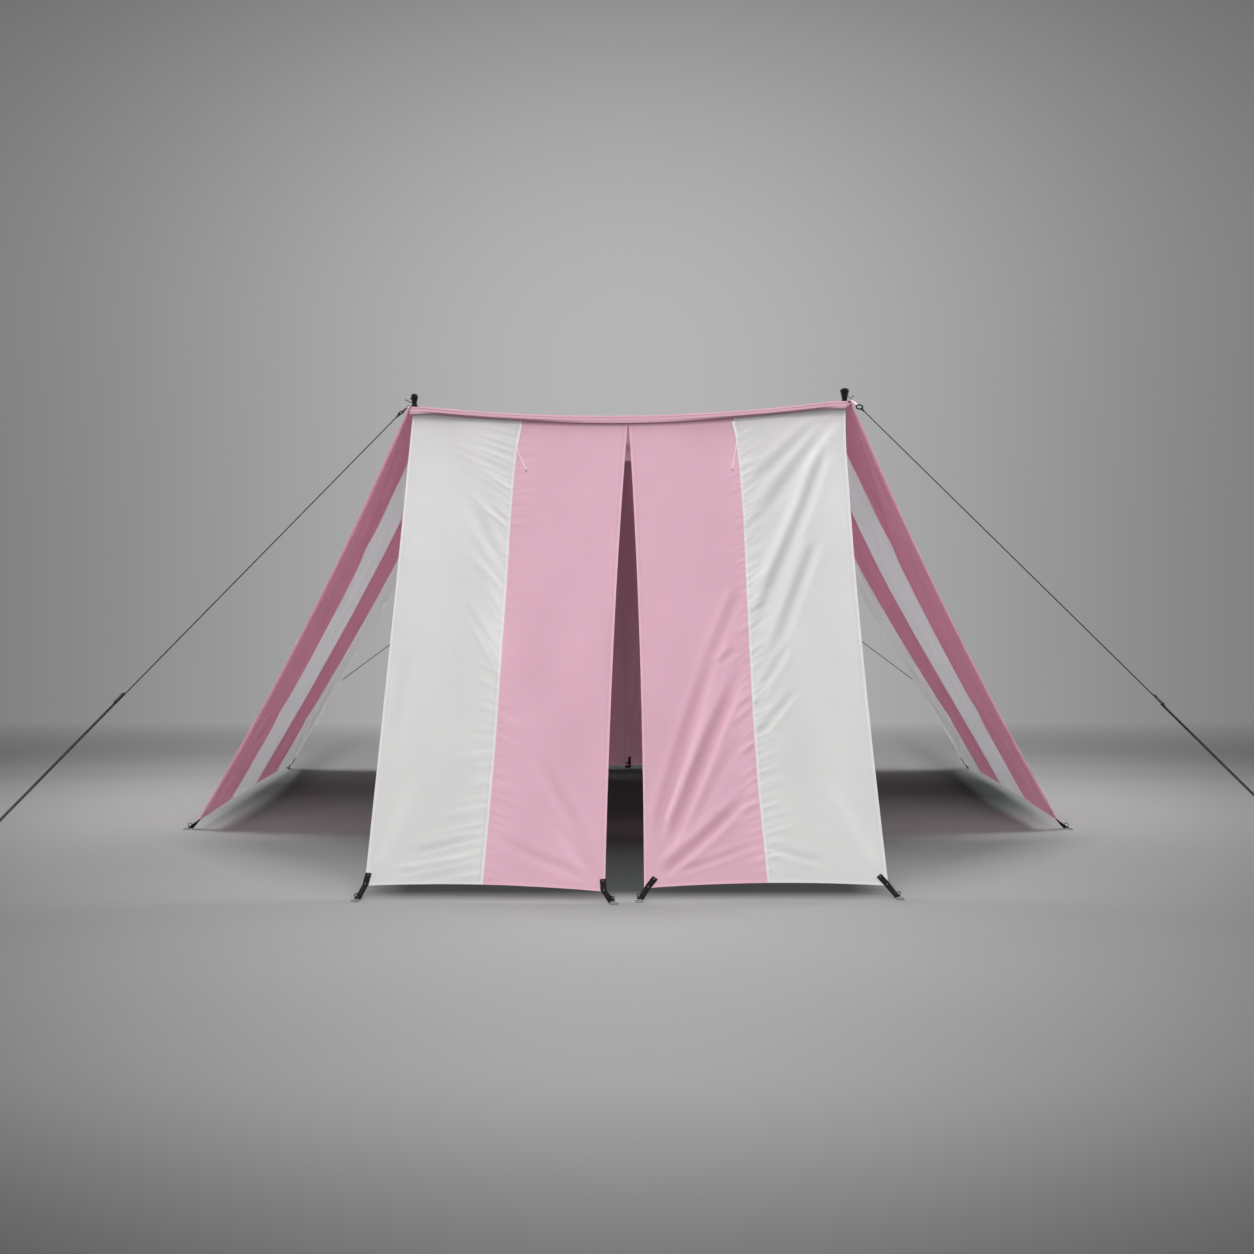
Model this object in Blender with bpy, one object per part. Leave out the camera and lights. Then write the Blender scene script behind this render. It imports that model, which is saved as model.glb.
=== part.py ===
"""A square pole tent of striped cotton: a flat roof on four corner poles, a wing of the same
cloth running down to the ground on each side, a splayed front wall with a slit in the middle,
a closed back wall, guy lines, pegging straps and pegs. Metres, +Z up, front towards -Y.

Values that differ between the two sides are keyed -1 for the left and 1 for the right."""

import math

import bmesh
import bpy
import numpy as np
from mathutils import Vector

# Roof
ROOF_WIDTH = 2.04
ROOF_DEPTH = 2.00
ROOF_HEIGHT = {-1: 2.004, 1: 2.031}
EAVE_X = {-1: 1.028, 1: 1.046}
EAVE_BOW = {-1: 0.012, 1: 0.040}
EAVE_BOW_END = 0.20
EAVE_BOW_DOWN = 0.30
FRONT_EDGE_SAG = 0.0545
REAR_EDGE_SAG = 0.1125
EAVE_SAG = 0.010
CORNER_PATCH = 0.060
CLOTH = 0.003
GAP = 0.0003
HALF_W = ROOF_WIDTH / 2
HALF_D = ROOF_DEPTH / 2

# Bands turned down along the roof's front and rear edges
HEM_HEIGHT = 0.034
HEM_CLOTH = 0.0035

# Wings, measured from the eaves outwards
WING_REACH_FRONT = 1.020
WING_REACH_REAR = 1.065
WING_REACH_BOW = 0.020
WING_FOOT = {"front": 0.050, "rear": 0.034}
WING_FOOT_BOW = 0.024
WING_BEND = 0.13
WING_EDGE_SAG = 0.035
WING_HANG = {-1: 0.036, 1: 0.080}
WING_HANG_FROM_FRONT = {-1: 0.70, 1: 0.80}
WING_CLOTH = 0.0065

# Front and back walls
WALL_CLOTH = 0.0037
WALL_INSET = 0.008
WALL_NECK = 0.02
WALL_HEM_ROOM = 0.004
FRONT_REACH = 1.345
FRONT_FORWARD = {-1: 0.070, 1: 0.030}
FRONT_FOOT = 0.042
FRONT_FOOT_INNER = {-1: 0.035, 1: 0.039}
FRONT_FOOT_BOW = 0.016
FRONT_TOP_HALF = 1.016
FRONT_BOTTOM_HALF = {-1: 1.002, 1: 0.989}
FRONT_EDGE_PULL = {-1: 0.003, 1: 0.016}
FRONT_TOP_EASE = {-1: 0.0, 1: 0.013}
FRONT_EASE_DOWN = 0.14
FRONT_SAG = 0.030
SLIT_HALF = {-1: 0.0867, 1: 0.0595}
SLIT_BOW = {-1: 0.72, 1: 1.10}
BACK_FOOT = 0.024
BACK_FOOT_BOW = 0.010
BACK_LAP = 0.040
BACK_LAP_EASE = (0.060, 0.160)
BACK_FACE = HALF_D - WALL_INSET + WALL_CLOTH

# Poles and the knobs on them
POLE_RADIUS = 0.0125
POLE_TIP_RADIUS = 0.0090
POLE_TIP_LENGTH = 0.020
POLE_INSET_X = {-1: 0.018, 1: 0.024}
POLE_INSET_Y = 0.030
CAP_PROFILE = [(0.0, 0.0), (0.0165, 0.0), (0.0165, 0.007), (0.0105, 0.017), (0.0110, 0.030),
               (0.0185, 0.041), (0.0195, 0.052), (0.0140, 0.062), (0.0, 0.065)]
CAP_PIN_RADIUS = 0.0028
CAP_PIN_LENGTH = 0.036
CAP_PIN_HEIGHT = 0.040

# Webbing tabs and rings that the guys pull on
TAB_WIDTH = 0.028
TAB_THICK = 0.0025
TAB_LIFT = 0.0008
TAB_ON_ROOF = 0.0155
TAB_OVERHANG = 0.008
TAB_LENGTH = 0.036
TAB_DIP = math.radians(38)
RING_RADIUS = 0.0150
RING_WIRE = 0.0032
REAR_TAB_WIDTH = 0.040
REAR_TAB_PATH = [(0.0, -0.004), (0.0005, -0.030), (0.022, -0.048)]
REAR_GUY_SPREAD = 0.010

# Guy lines, their runners and their pegs
GUY_RADIUS = 0.0025
GUY_FOOT_X = {"front": {-1: 2.565, 1: 2.66}, "rear": {-1: 2.66, 1: 2.66}}
GUY_FOOT_Y = 2.70
GUY_EYE_HEIGHT = 0.012
RUNNER_SIZE = (0.062, 0.026, 0.005)
RUNNER_FROM_FOOT = {"front": {-1: 1.090, 1: 1.085}, "rear": {-1: 0.460, 1: 0.460}}
GUY_PEG_HEIGHT = 0.050
GUY_PEG_HOOK = [(0.010, 0.008), (0.024, 0.002), (0.028, -0.012)]

# Pegging straps at the feet of the cloth, each with a wire loop on the ground
STRAP_WIDTH = 0.026
STRAP_THICK = 0.003
STRAP_ON_CLOTH = 0.051
STRAP_BEND = 0.004
STRAP_LIFT = 0.0007
STRAP_LEAN = {"inner": {-1: -0.10, 1: -0.79}, "outer": {-1: 0.175, 1: 0.81}}
STRAP_PLACE = {"inner": {-1: 0.0045, 1: 0.014}, "outer": {-1: 0.997, 1: 0.998}}
STRAP_LANDING = {"inner": {-1: (-0.028, 0.027), 1: (-0.026, 0.031)},
                 "outer": {-1: (0.0175, 0.054), 1: (0.030, 0.022)}}
WING_STRAP_PLACE = {"front": 0.012, "rear": 0.988}
BACK_STRAP_INSET = 0.022
PEG_WIRE = 0.0025
PEG_LOOP = 0.013
PEG_OPENING = (32, 338)
PEG_SHANK = 0.030
PEG_SHANK_LEAN = 0.3
PEG_AHEAD = 0.006
STRAP_END_LIFT = 2 * PEG_WIRE + 0.0005
PEG_HEADING = {"inner": {-1: -0.5, 1: -0.4}, "outer": {-1: 0.5, 1: 0.5}}
WING_PEG_OUT = {"front": (0.052, 0.0), "rear": (0.020, 0.040)}
WING_PEG_HEADING = {"front": (1.0, -0.1), "rear": (0.3, 1.0)}
BACK_PEG_OUT = 0.032

# Tapes and hanging cords on the front wall's seams
TAPE_WIDTH = 0.014
TAPE_THICK = 0.002
TAPE_LIFT = 0.0010
TAPE_PLACES = {-1: [(0.491, 0.026), (0.497, 0.052), (0.502, 0.080)],
               1: [(0.480, 0.024), (0.4895, 0.046), (0.499, 0.068)]}
TIE_RADIUS = 0.0022
TIE_ROUTE = {
    -1: [(-0.517, -1.0735, 1.8144), (-0.516, -1.0820, 1.8014), (-0.510, -1.0960, 1.7813),
         (-0.500, -1.1120, 1.7573), (-0.488, -1.1280, 1.7332), (-0.477, -1.1420, 1.7122),
         (-0.468, -1.1555, 1.6922)],
    1: [(0.5085, -1.0585, 1.8490), (0.5045, -1.0700, 1.8317), (0.4995, -1.0870, 1.8064),
        (0.4945, -1.1060, 1.7772), (0.4890, -1.1240, 1.7500), (0.4840, -1.1430, 1.7229),
        (0.4792, -1.1605, 1.6959)],
}
TIE_POINT_SPACING = 0.010

# Base colour, roughness and metallic value of each finish
COLOURS = {
    "white": ((0.68, 0.67, 0.65), 0.85, 0.0),
    "pink": ((0.62, 0.36, 0.43), 0.85, 0.0),
    "black": ((0.012, 0.012, 0.013), 0.50, 0.0),
    "strap": ((0.015, 0.014, 0.014), 0.55, 0.0),
    "steel": ((0.35, 0.35, 0.36), 0.35, 1.0),
    "pole": ((0.55, 0.56, 0.58), 0.35, 1.0),
    "guy": ((0.025, 0.025, 0.026), 0.80, 0.0),
    "tie": ((0.60, 0.52, 0.52), 0.80, 0.0),
}

SIDES = {-1: "left", 1: "right"}
ENDS = {-1: "front", 1: "rear"}


def clear_scene():
    for obj in list(bpy.data.objects):
        bpy.data.objects.remove(obj, do_unlink=True)


def new_material(node, colour):
    """A Principled material of the node's own, in one of the tent's colours."""
    base, roughness, metallic = COLOURS[colour]
    material = bpy.data.materials.new(node)
    material.use_nodes = True
    shader = material.node_tree.nodes["Principled BSDF"]
    shader.inputs["Base Color"].default_value = (*base, 1.0)
    shader.inputs["Roughness"].default_value = roughness
    shader.inputs["Metallic"].default_value = metallic
    return material


def add_object(name, mesh, colour):
    obj = bpy.data.objects.new(name, mesh)
    bpy.context.scene.collection.objects.link(obj)
    mesh.materials.append(new_material(name, colour))
    return obj


def mesh_from(name, build):
    """A mesh filled by build(bm), with its faces turned outwards."""
    bm = bmesh.new()
    build(bm)
    bmesh.ops.recalc_face_normals(bm, faces=bm.faces)
    mesh = bpy.data.meshes.new(name)
    bm.to_mesh(mesh)
    bm.free()
    return mesh


def sheet(name, outer, offset, colour):
    """A closed sheet: a grid of points, the same grid shifted by offset, and a rim between."""
    rows, cols = outer.shape[:2]

    def build(bm):
        layers = [[[bm.verts.new(outer[r, c] + shift) for c in range(cols)] for r in range(rows)]
                  for shift in (np.zeros(3), np.asarray(offset))]
        for layer in layers:
            for r in range(rows - 1):
                for c in range(cols - 1):
                    bm.faces.new((layer[r][c], layer[r][c + 1], layer[r + 1][c + 1], layer[r + 1][c]))
        rim = [(0, c) for c in range(cols)]
        rim += [(r, cols - 1) for r in range(1, rows)]
        rim += [(rows - 1, c) for c in range(cols - 2, -1, -1)]
        rim += [(r, 0) for r in range(rows - 2, 0, -1)]
        for (r0, c0), (r1, c1) in zip(rim, rim[1:] + rim[:1]):
            bm.faces.new((layers[0][r0][c0], layers[0][r1][c1], layers[1][r1][c1], layers[1][r0][c0]))

    obj = add_object(name, mesh_from(name, build), colour)
    obj.data.shade_smooth()
    return obj


def smooth_path(points, spacing):
    """Points at even distances along a Catmull-Rom curve through the given points."""
    pts = [np.asarray(p, float) for p in points]
    pts = [2 * pts[0] - pts[1]] + pts + [2 * pts[-1] - pts[-2]]
    fine = []
    for a, b, c, d in zip(pts, pts[1:], pts[2:], pts[3:]):
        for t in np.linspace(0, 1, 24, endpoint=False):
            fine.append(0.5 * (2 * b + (c - a) * t + (2 * a - 5 * b + 4 * c - d) * t ** 2
                               + (3 * b - a - 3 * c + d) * t ** 3))
    fine.append(pts[-2])
    fine = np.array(fine)
    run = np.concatenate([[0], np.cumsum(np.linalg.norm(np.diff(fine, axis=0), axis=1))])
    count = max(2, int(round(run[-1] / spacing)) + 1)
    even = np.linspace(0, run[-1], count)
    return np.stack([np.interp(even, run, fine[:, k]) for k in range(3)], axis=1)


def tube(name, path, radius, colour, resolution=2):
    """A round bar or cord along a path, as a curve with a bevel and filled caps."""
    curve = bpy.data.curves.new(name, "CURVE")
    curve.dimensions = "3D"
    curve.bevel_depth = radius
    curve.bevel_resolution = resolution
    curve.use_fill_caps = True
    spline = curve.splines.new("POLY")
    spline.points.add(len(path) - 1)
    for point, place in zip(spline.points, path):
        point.co = (*place, 1.0)
    obj = bpy.data.objects.new(name, curve)
    bpy.context.scene.collection.objects.link(obj)
    curve.materials.append(new_material(name, colour))
    return obj


def turned(name, profile, colour, sides=16):
    """A solid of revolution about Z from (radius, height) pairs that start and end on the axis."""
    def build(bm):
        rings = []
        for radius, height in profile:
            if radius == 0:
                rings.append([bm.verts.new((0, 0, height))])
                continue
            angles = [2 * math.pi * k / sides for k in range(sides)]
            rings.append([bm.verts.new((radius * math.cos(a), radius * math.sin(a), height)) for a in angles])
        for low, high in zip(rings, rings[1:]):
            for k in range(sides):
                n = (k + 1) % sides
                ring = [low[k % len(low)], low[n % len(low)], high[n % len(high)], high[k % len(high)]]
                bm.faces.new(list(dict.fromkeys(ring)))

    obj = add_object(name, mesh_from(name, build), colour)
    obj.data.shade_smooth()
    obj.data.set_sharp_from_angle(angle=math.radians(40))
    return obj


def ribbon(name, path, across, thickness, width, colour):
    """A flat strap carried along a path, which is the line on its underside.

    It is wide along across, which is one direction or one for each point, and thick on the
    side of across x direction of travel."""
    path = np.asarray(path, float)
    across = np.broadcast_to(np.asarray(across, float), path.shape)
    across = across / np.linalg.norm(across, axis=1)[:, None]
    ahead = np.gradient(path, axis=0)
    up = np.cross(across, ahead)
    up /= np.linalg.norm(up, axis=1)[:, None]
    low = np.stack([path - across * width / 2, path + across * width / 2], axis=1)
    high = low + up[:, None, :] * thickness

    def build(bm):
        rings = []
        for k in range(len(path)):
            corners = (low[k, 0], low[k, 1], high[k, 1], high[k, 0])
            rings.append([bm.verts.new(p) for p in corners])
        for a, b in zip(rings, rings[1:]):
            for k in range(4):
                n = (k + 1) % 4
                bm.faces.new((a[k], a[n], b[n], b[k]))
        bm.faces.new(rings[0])
        bm.faces.new(rings[-1])

    return add_object(name, mesh_from(name, build), colour)


# The cloth surfaces, each a function of two parameters

def crown(x, half):
    """1 in the middle of an edge, falling to 0 where the flat corner patches begin."""
    return np.clip(1 - (x / (half - CORNER_PATCH)) ** 2, 0, 1)


def roof_z(x, y):
    """The roof's upper face: level corners, edges and middle sagging between them."""
    lift = ROOF_HEIGHT[-1] + (ROOF_HEIGHT[1] - ROOF_HEIGHT[-1]) * (x + HALF_W) / ROOF_WIDTH
    back = (y + HALF_D) / ROOF_DEPTH
    sag = (FRONT_EDGE_SAG * (1 - back) + REAR_EDGE_SAG * back) * crown(x, HALF_W)
    return lift - sag - EAVE_SAG * crown(y, HALF_D)


def breaks(inner, ends, count):
    """Even places between -inner and inner, where the corner patches begin, and the two ends."""
    return np.concatenate([[ends[-1]], np.linspace(-inner, inner, count), [ends[1]]])


def roof_columns():
    return breaks(HALF_W - CORNER_PATCH, {side: side * EAVE_X[side] for side in SIDES}, 15)


def roof_rows():
    return breaks(HALF_D - CORNER_PATCH, {end: end * HALF_D for end in ENDS}, 11)


def ease(t):
    """A smooth step from 0 to 1 as t runs from 0 to 1."""
    t = np.clip(t, 0, 1)
    return t * t * (3 - 2 * t)


def eave_in(side, along):
    """How far an eave is drawn in between its corners."""
    return EAVE_BOW[side] * ease(along / EAVE_BOW_END) * ease((1 - along) / EAVE_BOW_END)


def wing_point(side, along, down):
    """A point of a wing's outer face. along runs 0 to 1 from front to rear, down 0 to 1 to the foot."""
    bow = 4 * along * (1 - along)
    y = -HALF_D + ROOF_DEPTH * along
    pull = WING_EDGE_SAG * np.sin(np.pi * down) * (1 - 2 * along)
    reach = WING_REACH_FRONT * (1 - along) + WING_REACH_REAR * along - WING_REACH_BOW * bow * down ** 2
    top = roof_z(side * EAVE_X[side], y)
    hang = WING_HANG[side] * ease(along / WING_HANG_FROM_FRONT[side]) * 6.75 * down * (1 - down) ** 2
    foot = WING_FOOT["front"] * (1 - along) + WING_FOOT["rear"] * along + WING_FOOT_BOW * bow
    reach = reach - (EAVE_X[side] - HALF_W)
    x = EAVE_X[side] + GAP + reach * ((1 - WING_BEND) * down + WING_BEND * down ** 2) - hang
    x = x - eave_in(side, along) * np.clip(1 - down / EAVE_BOW_DOWN, 0, 1) ** 2
    z = top + (foot - top) * down
    return np.stack(np.broadcast_arrays(side * x, y + pull, z), axis=-1)


def front_point(side, across, down):
    """A point of a front panel's outer face. across runs 0 at the slit to 1 at the outer edge."""
    outer = FRONT_TOP_HALF + (FRONT_BOTTOM_HALF[side] - FRONT_TOP_HALF) * down
    outer = outer - FRONT_EDGE_PULL[side] * np.sin(np.pi * down)
    outer = outer + FRONT_TOP_EASE[side] * np.clip(1 - down / FRONT_EASE_DOWN, 0, 1) ** 2
    slit = GAP + SLIT_HALF[side] * down * (1 + SLIT_BOW[side] * (1 - down))
    x = side * (slit + (outer - slit) * across)
    head = roof_z(x, np.full_like(x, WALL_INSET + WALL_CLOTH - HALF_D)) - CLOTH - 2 * GAP
    chin = head - HEM_HEIGHT - WALL_HEM_ROOM
    fall = np.clip((down - WALL_NECK) / (1 - WALL_NECK), 0, 1)
    bow = 4 * across * (1 - across)
    foot = FRONT_FOOT * across + FRONT_FOOT_INNER[side] * (1 - across) + FRONT_FOOT_BOW * bow
    z = np.where(down < WALL_NECK, head + (chin - head) * down / WALL_NECK, chin + (foot - chin) * fall)
    y = -HALF_D + WALL_INSET - (FRONT_REACH + WALL_INSET) * fall + FRONT_SAG * np.sin(np.pi * fall) * bow
    y = y - FRONT_FORWARD[side] * (1 - across) * fall ** 2
    return np.stack(np.broadcast_arrays(x, y, z), axis=-1)


def back_point(side, across, down):
    """A point of a back panel's inner face. The right panel laps behind the left at the middle."""
    lap = BACK_LAP if side > 0 else 0.0
    x = side * (-lap + (EAVE_X[side] - WALL_INSET + lap) * across)
    head = roof_z(x, np.full_like(x, HALF_D)) - CLOTH - 2 * GAP
    foot = BACK_FOOT + BACK_FOOT_BOW * 4 * across * (1 - across)
    z = head + (foot - head) * down
    near, far = BACK_LAP_EASE
    step = (WALL_CLOTH + 2 * GAP) * np.clip((far - np.abs(x)) / (far - near), 0, 1) if side > 0 else 0.0
    y = HALF_D - WALL_INSET + step + 0.0 * down
    return np.stack(np.broadcast_arrays(x, y, z), axis=-1)


def surface_frame(surface, side, a, b):
    """A point of a cloth surface, its outward normal, and the directions along and up it."""
    step = 0.002
    here = surface(side, np.array(a), np.array(b))
    along = surface(side, np.array(a + step), np.array(b)) - here
    upward = surface(side, np.array(a), np.array(b - step)) - here
    normal = np.cross(along, upward)
    facing = np.array([side, 0, 1]) if surface is wing_point else np.array([0, -1, 0])
    normal *= np.sign(normal @ facing) / np.linalg.norm(normal)
    return here, normal, along / np.linalg.norm(along), upward / np.linalg.norm(upward)


def grid(rows, columns):
    return np.meshgrid(rows, columns, indexing="ij")


def make_roof():
    x, y = grid(roof_columns(), roof_rows())
    along = (y + HALF_D) / ROOF_DEPTH
    for side in SIDES:
        near = np.clip((side * x - HALF_W / 2) / (EAVE_X[side] - HALF_W / 2), 0, 1)
        x = x - side * eave_in(side, along) * near
    sheet("roof", np.stack([x, y, roof_z(x, y)], axis=-1), (0, 0, -CLOTH), "pink")


def make_hems():
    """The turned-down bands along the roof's front and rear edges."""
    for end, place in ENDS.items():
        x, drop = grid(roof_columns(), np.array([0.0, HEM_HEIGHT]))
        y = np.full_like(x, end * (HALF_D + GAP))
        z = roof_z(x, np.full_like(x, end * HALF_D)) - drop
        sheet(f"{place}_hem", np.stack([x, y, z], axis=-1), (0, end * HEM_CLOTH, 0), "pink")


def make_wings():
    for side, word in SIDES.items():
        along, down = grid((roof_rows() + HALF_D) / ROOF_DEPTH, np.linspace(0, 1, 13))
        sheet(f"wing_{word}", wing_point(side, along, down), (0, 0, -WING_CLOTH), "pink")


def make_walls():
    rows = np.concatenate([[0], np.linspace(WALL_NECK, 1, 14)])
    for side, word in SIDES.items():
        across, down = grid(np.linspace(0, 1, 10), rows)
        sheet(f"front_panel_{word}", front_point(side, across, down), (0, WALL_CLOTH, 0), "white")
        across, down = grid(np.linspace(0, 1, 13), np.linspace(0, 1, 5))
        sheet(f"back_panel_{word}", back_point(side, across, down), (0, WALL_CLOTH, 0), "white")


# Poles and their knobs

def make_poles():
    for end, place in ENDS.items():
        for side, word in SIDES.items():
            x = side * (EAVE_X[side] - POLE_INSET_X[side])
            y = end * (HALF_D - POLE_INSET_Y)
            z = float(roof_z(x, y))
            top = z - CLOTH - 2 * GAP
            shoulder = top - POLE_TIP_LENGTH
            profile = [(0, 0), (POLE_RADIUS, 0), (POLE_RADIUS, shoulder), (POLE_TIP_RADIUS, top), (0, top)]
            pole = turned(f"pole_{place}_{word}", profile, "pole")
            pole.location = (x, y, 0)
            cap = turned(f"cap_{place}_{word}", CAP_PROFILE, "black")
            cap.location = (x, y, z + 2 * GAP)
            bar = [(0, 0), (CAP_PIN_RADIUS, 0), (CAP_PIN_RADIUS, CAP_PIN_LENGTH), (0, CAP_PIN_LENGTH)]
            pin = turned(f"pin_{place}_{word}", bar, "black", sides=8)
            pin.location = (x, y, z + CAP_PIN_HEIGHT)
            pin.rotation_euler = (0, side * math.pi / 2, 0)
            pin.hide_render = True
            pin.display_type = "WIRE"
            joined = cap.modifiers.new("pin", "BOOLEAN")
            joined.operation = "UNION"
            joined.object = pin
            joined.solver = "EXACT"


# Tabs, rings, guy lines, runners and guy pegs

def guy_line(side, end):
    """Where a guy starts on the roof's edge, and where its peg stands."""
    foot = np.array([side * GUY_FOOT_X[ENDS[end]][side], end * GUY_FOOT_Y, 0.0])
    if end < 0:
        corner = side * EAVE_X[side]
        head = np.array([corner, -HALF_D, float(roof_z(corner, -HALF_D))])
    else:
        head = np.array([0.0, HALF_D + GAP + HEM_CLOTH, float(roof_z(0.0, HALF_D))])
    return head, foot


def make_corner_tabs():
    """A webbing tab over each front corner of the roof, bent down towards the guy, and its ring.

    Returns where the guys leave the rings, and in which direction."""
    exits = {}
    for side, word in SIDES.items():
        head, foot = guy_line(side, -1)
        out = (foot - head) * (1, 1, 0)
        out /= np.linalg.norm(out)
        across = np.cross((0, 0, 1), out)
        slope = out * math.cos(TAB_DIP) - np.array([0, 0, 1]) * math.sin(TAB_DIP)
        top = head + np.array([0, 0, TAB_LIFT])
        bend = top + out * TAB_OVERHANG
        tip = bend + slope * TAB_LENGTH
        path = [top - out * TAB_ON_ROOF, bend, tip]
        ribbon(f"corner_tab_{word}", path, -across, TAB_THICK, TAB_WIDTH, "pink")
        face = np.cross(slope, across)
        centre = tip + slope * (RING_RADIUS + RING_WIRE + GAP) + face * TAB_THICK / 2
        make_ring(f"corner_ring_{word}", centre, slope, across if side < 0 else face)
        exits[side, -1] = (centre + slope * (RING_RADIUS + RING_WIRE), slope)
    return exits


def make_ring(name, centre, ahead, up):
    """A round wire ring in the plane of two directions."""
    ahead = Vector(ahead).normalized()
    up = Vector(up).normalized()
    normal = ahead.cross(up)

    def build(bm):
        around, section = 20, 8
        loops = []
        for k in range(around):
            angle = 2 * math.pi * k / around
            radial = ahead * math.cos(angle) + up * math.sin(angle)
            hub = Vector(centre) + radial * RING_RADIUS
            loops.append([bm.verts.new(hub + (radial * math.cos(b) + normal * math.sin(b)) * RING_WIRE)
                          for b in (2 * math.pi * j / section for j in range(section))])
        for a, b in zip(loops, loops[1:] + loops[:1]):
            for j in range(section):
                n = (j + 1) % section
                bm.faces.new((a[j], a[n], b[n], b[j]))

    obj = add_object(name, mesh_from(name, build), "black")
    obj.data.shade_smooth()


def make_rear_tab():
    """A webbing tab at the middle of the roof's rear edge, where both rear guys are tied.

    Returns where the guys leave it, and in which direction."""
    head, _ = guy_line(1, 1)
    path = [head + np.array([0, GAP + out, rise]) for out, rise in REAR_TAB_PATH]
    ribbon("rear_tab", path, (1, 0, 0), TAB_THICK, REAR_TAB_WIDTH, "pink")
    slope = (path[-1] - path[-2]) / np.linalg.norm(path[-1] - path[-2])
    tip = path[-1] + np.cross((1, 0, 0), slope) * TAB_THICK / 2
    return {(side, 1): (tip + np.array([side * REAR_GUY_SPREAD, 0, 0]), slope) for side in SIDES}


def make_guys(exits):
    """Each guy runs down from its ring or tab, round its peg and back up to the runner."""
    for end, place in ENDS.items():
        for side, word in SIDES.items():
            _, foot = guy_line(side, end)
            eye = foot + np.array([0, 0, GUY_EYE_HEIGHT])
            start, out = exits[side, end]
            ahead = (eye - start) / np.linalg.norm(eye - start)
            first = start + out * (GAP + GUY_RADIUS * math.sqrt(1 - (ahead @ out) ** 2))
            ahead = (eye - first) / np.linalg.norm(eye - first)
            across = np.cross(ahead, (0, 0, 1))
            level = np.linalg.norm(across)
            across /= level
            turn = (PEG_WIRE + GUY_RADIUS + 2 * GAP) / (level * math.cos(math.pi / 16))
            bend = [eye + turn * (ahead * math.sin(a) - across * math.cos(a))
                    for a in np.linspace(0, math.pi, 9)]
            grip = eye - ahead * RUNNER_FROM_FOOT[place][side]
            last = grip + ahead * RUNNER_SIZE[0] / 4 + across * turn
            path = np.array([first, (first + bend[0]) / 2] + bend + [last])
            tube(f"guy_{place}_{word}", path, GUY_RADIUS, "guy")
            make_runner(f"runner_{place}_{word}", grip, ahead, across)
            make_guy_peg(f"guy_peg_{place}_{word}", foot, (side, end))


def make_runner(name, middle, ahead, across):
    """A flat bar that grips the guy, lying on its two strands."""
    up = np.cross(across, ahead)
    length, width, thick = RUNNER_SIZE
    bottom = middle + up * (GUY_RADIUS + GAP)
    ends = [bottom - ahead * length / 2, bottom, bottom + ahead * length / 2]
    ribbon(name, ends, across, thick, width, "black")


def make_guy_peg(name, base, heading):
    """The part of a guy peg above ground: a wire with a hook, standing in the bend of the guy."""
    flat = np.array([*heading, 0.0])
    flat /= np.linalg.norm(flat)
    top = base + np.array([0, 0, GUY_PEG_HEIGHT])
    hook = [top + flat * out + np.array([0, 0, rise]) for out, rise in GUY_PEG_HOOK]
    tube(name, smooth_path([base, (base + top) / 2, top] + hook, 0.010), PEG_WIRE, "steel")


# Pegging straps at the feet of the cloth

def peg_path(place, heading):
    """A wire loop lying on the ground with its shank pointing along heading, a flat direction."""
    left = np.array([-heading[1], heading[0], 0.0])
    centre = place + np.array([0, 0, PEG_WIRE])
    angles = np.radians(np.linspace(*PEG_OPENING, 16))
    ring = [centre + PEG_LOOP * (heading * math.cos(a) + left * math.sin(a)) for a in angles]
    shank = heading * PEG_SHANK + left * PEG_SHANK_LEAN * PEG_LOOP
    return np.array(ring + [ring[-1] + shank * t for t in (1 / 3, 2 / 3, 1)])


def strap_and_peg(name, corner, inward, normal, heading, landing):
    """A strap from the cloth's corner to a wire loop on the ground.

    corner is a point on the outer face of the cloth at its foot, inward the direction up
    the cloth that the strap lies along, normal the outward normal of the cloth there, and
    landing the place where it reaches the ground."""
    inward = np.asarray(inward, float) / np.linalg.norm(inward)
    lift = np.asarray(normal, float) * STRAP_LIFT
    end = np.array([landing[0], landing[1], STRAP_END_LIFT])
    path = [corner + inward * STRAP_ON_CLOTH + lift, corner + inward * STRAP_BEND + lift, end]
    across = np.cross(normal, inward)
    level = across * (1, 1, 0)
    ribbon(f"strap_{name}", path, [across, across, level], STRAP_THICK, STRAP_WIDTH, "strap")
    flat = np.array([*heading, 0.0])
    flat /= np.linalg.norm(flat)
    tube(f"peg_{name}", peg_path(end * (1, 1, 0) + flat * PEG_AHEAD, flat), PEG_WIRE, "steel")


def make_front_straps():
    for side, word in SIDES.items():
        for corner, place in STRAP_PLACE.items():
            here, normal, outward, upward = surface_frame(front_point, side, place[side], 1.0)
            inward = upward - outward * STRAP_LEAN[corner][side]
            out, ahead = STRAP_LANDING[corner][side]
            landing = here + np.array([side * out, -ahead, 0])
            heading = (side * PEG_HEADING[corner][side], -1)
            strap_and_peg(f"front_{corner}_{word}", here, inward, normal, heading, landing)


def make_wing_straps():
    for side, word in SIDES.items():
        for place, along in WING_STRAP_PLACE.items():
            here, normal, _, upward = surface_frame(wing_point, side, along, 1.0)
            out, back = WING_PEG_OUT[place]
            landing = here + np.array([side * out, back, 0])
            heading = (side * WING_PEG_HEADING[place][0], WING_PEG_HEADING[place][1])
            strap_and_peg(f"wing_{place}_{word}", here, upward, normal, heading, landing)


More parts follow.
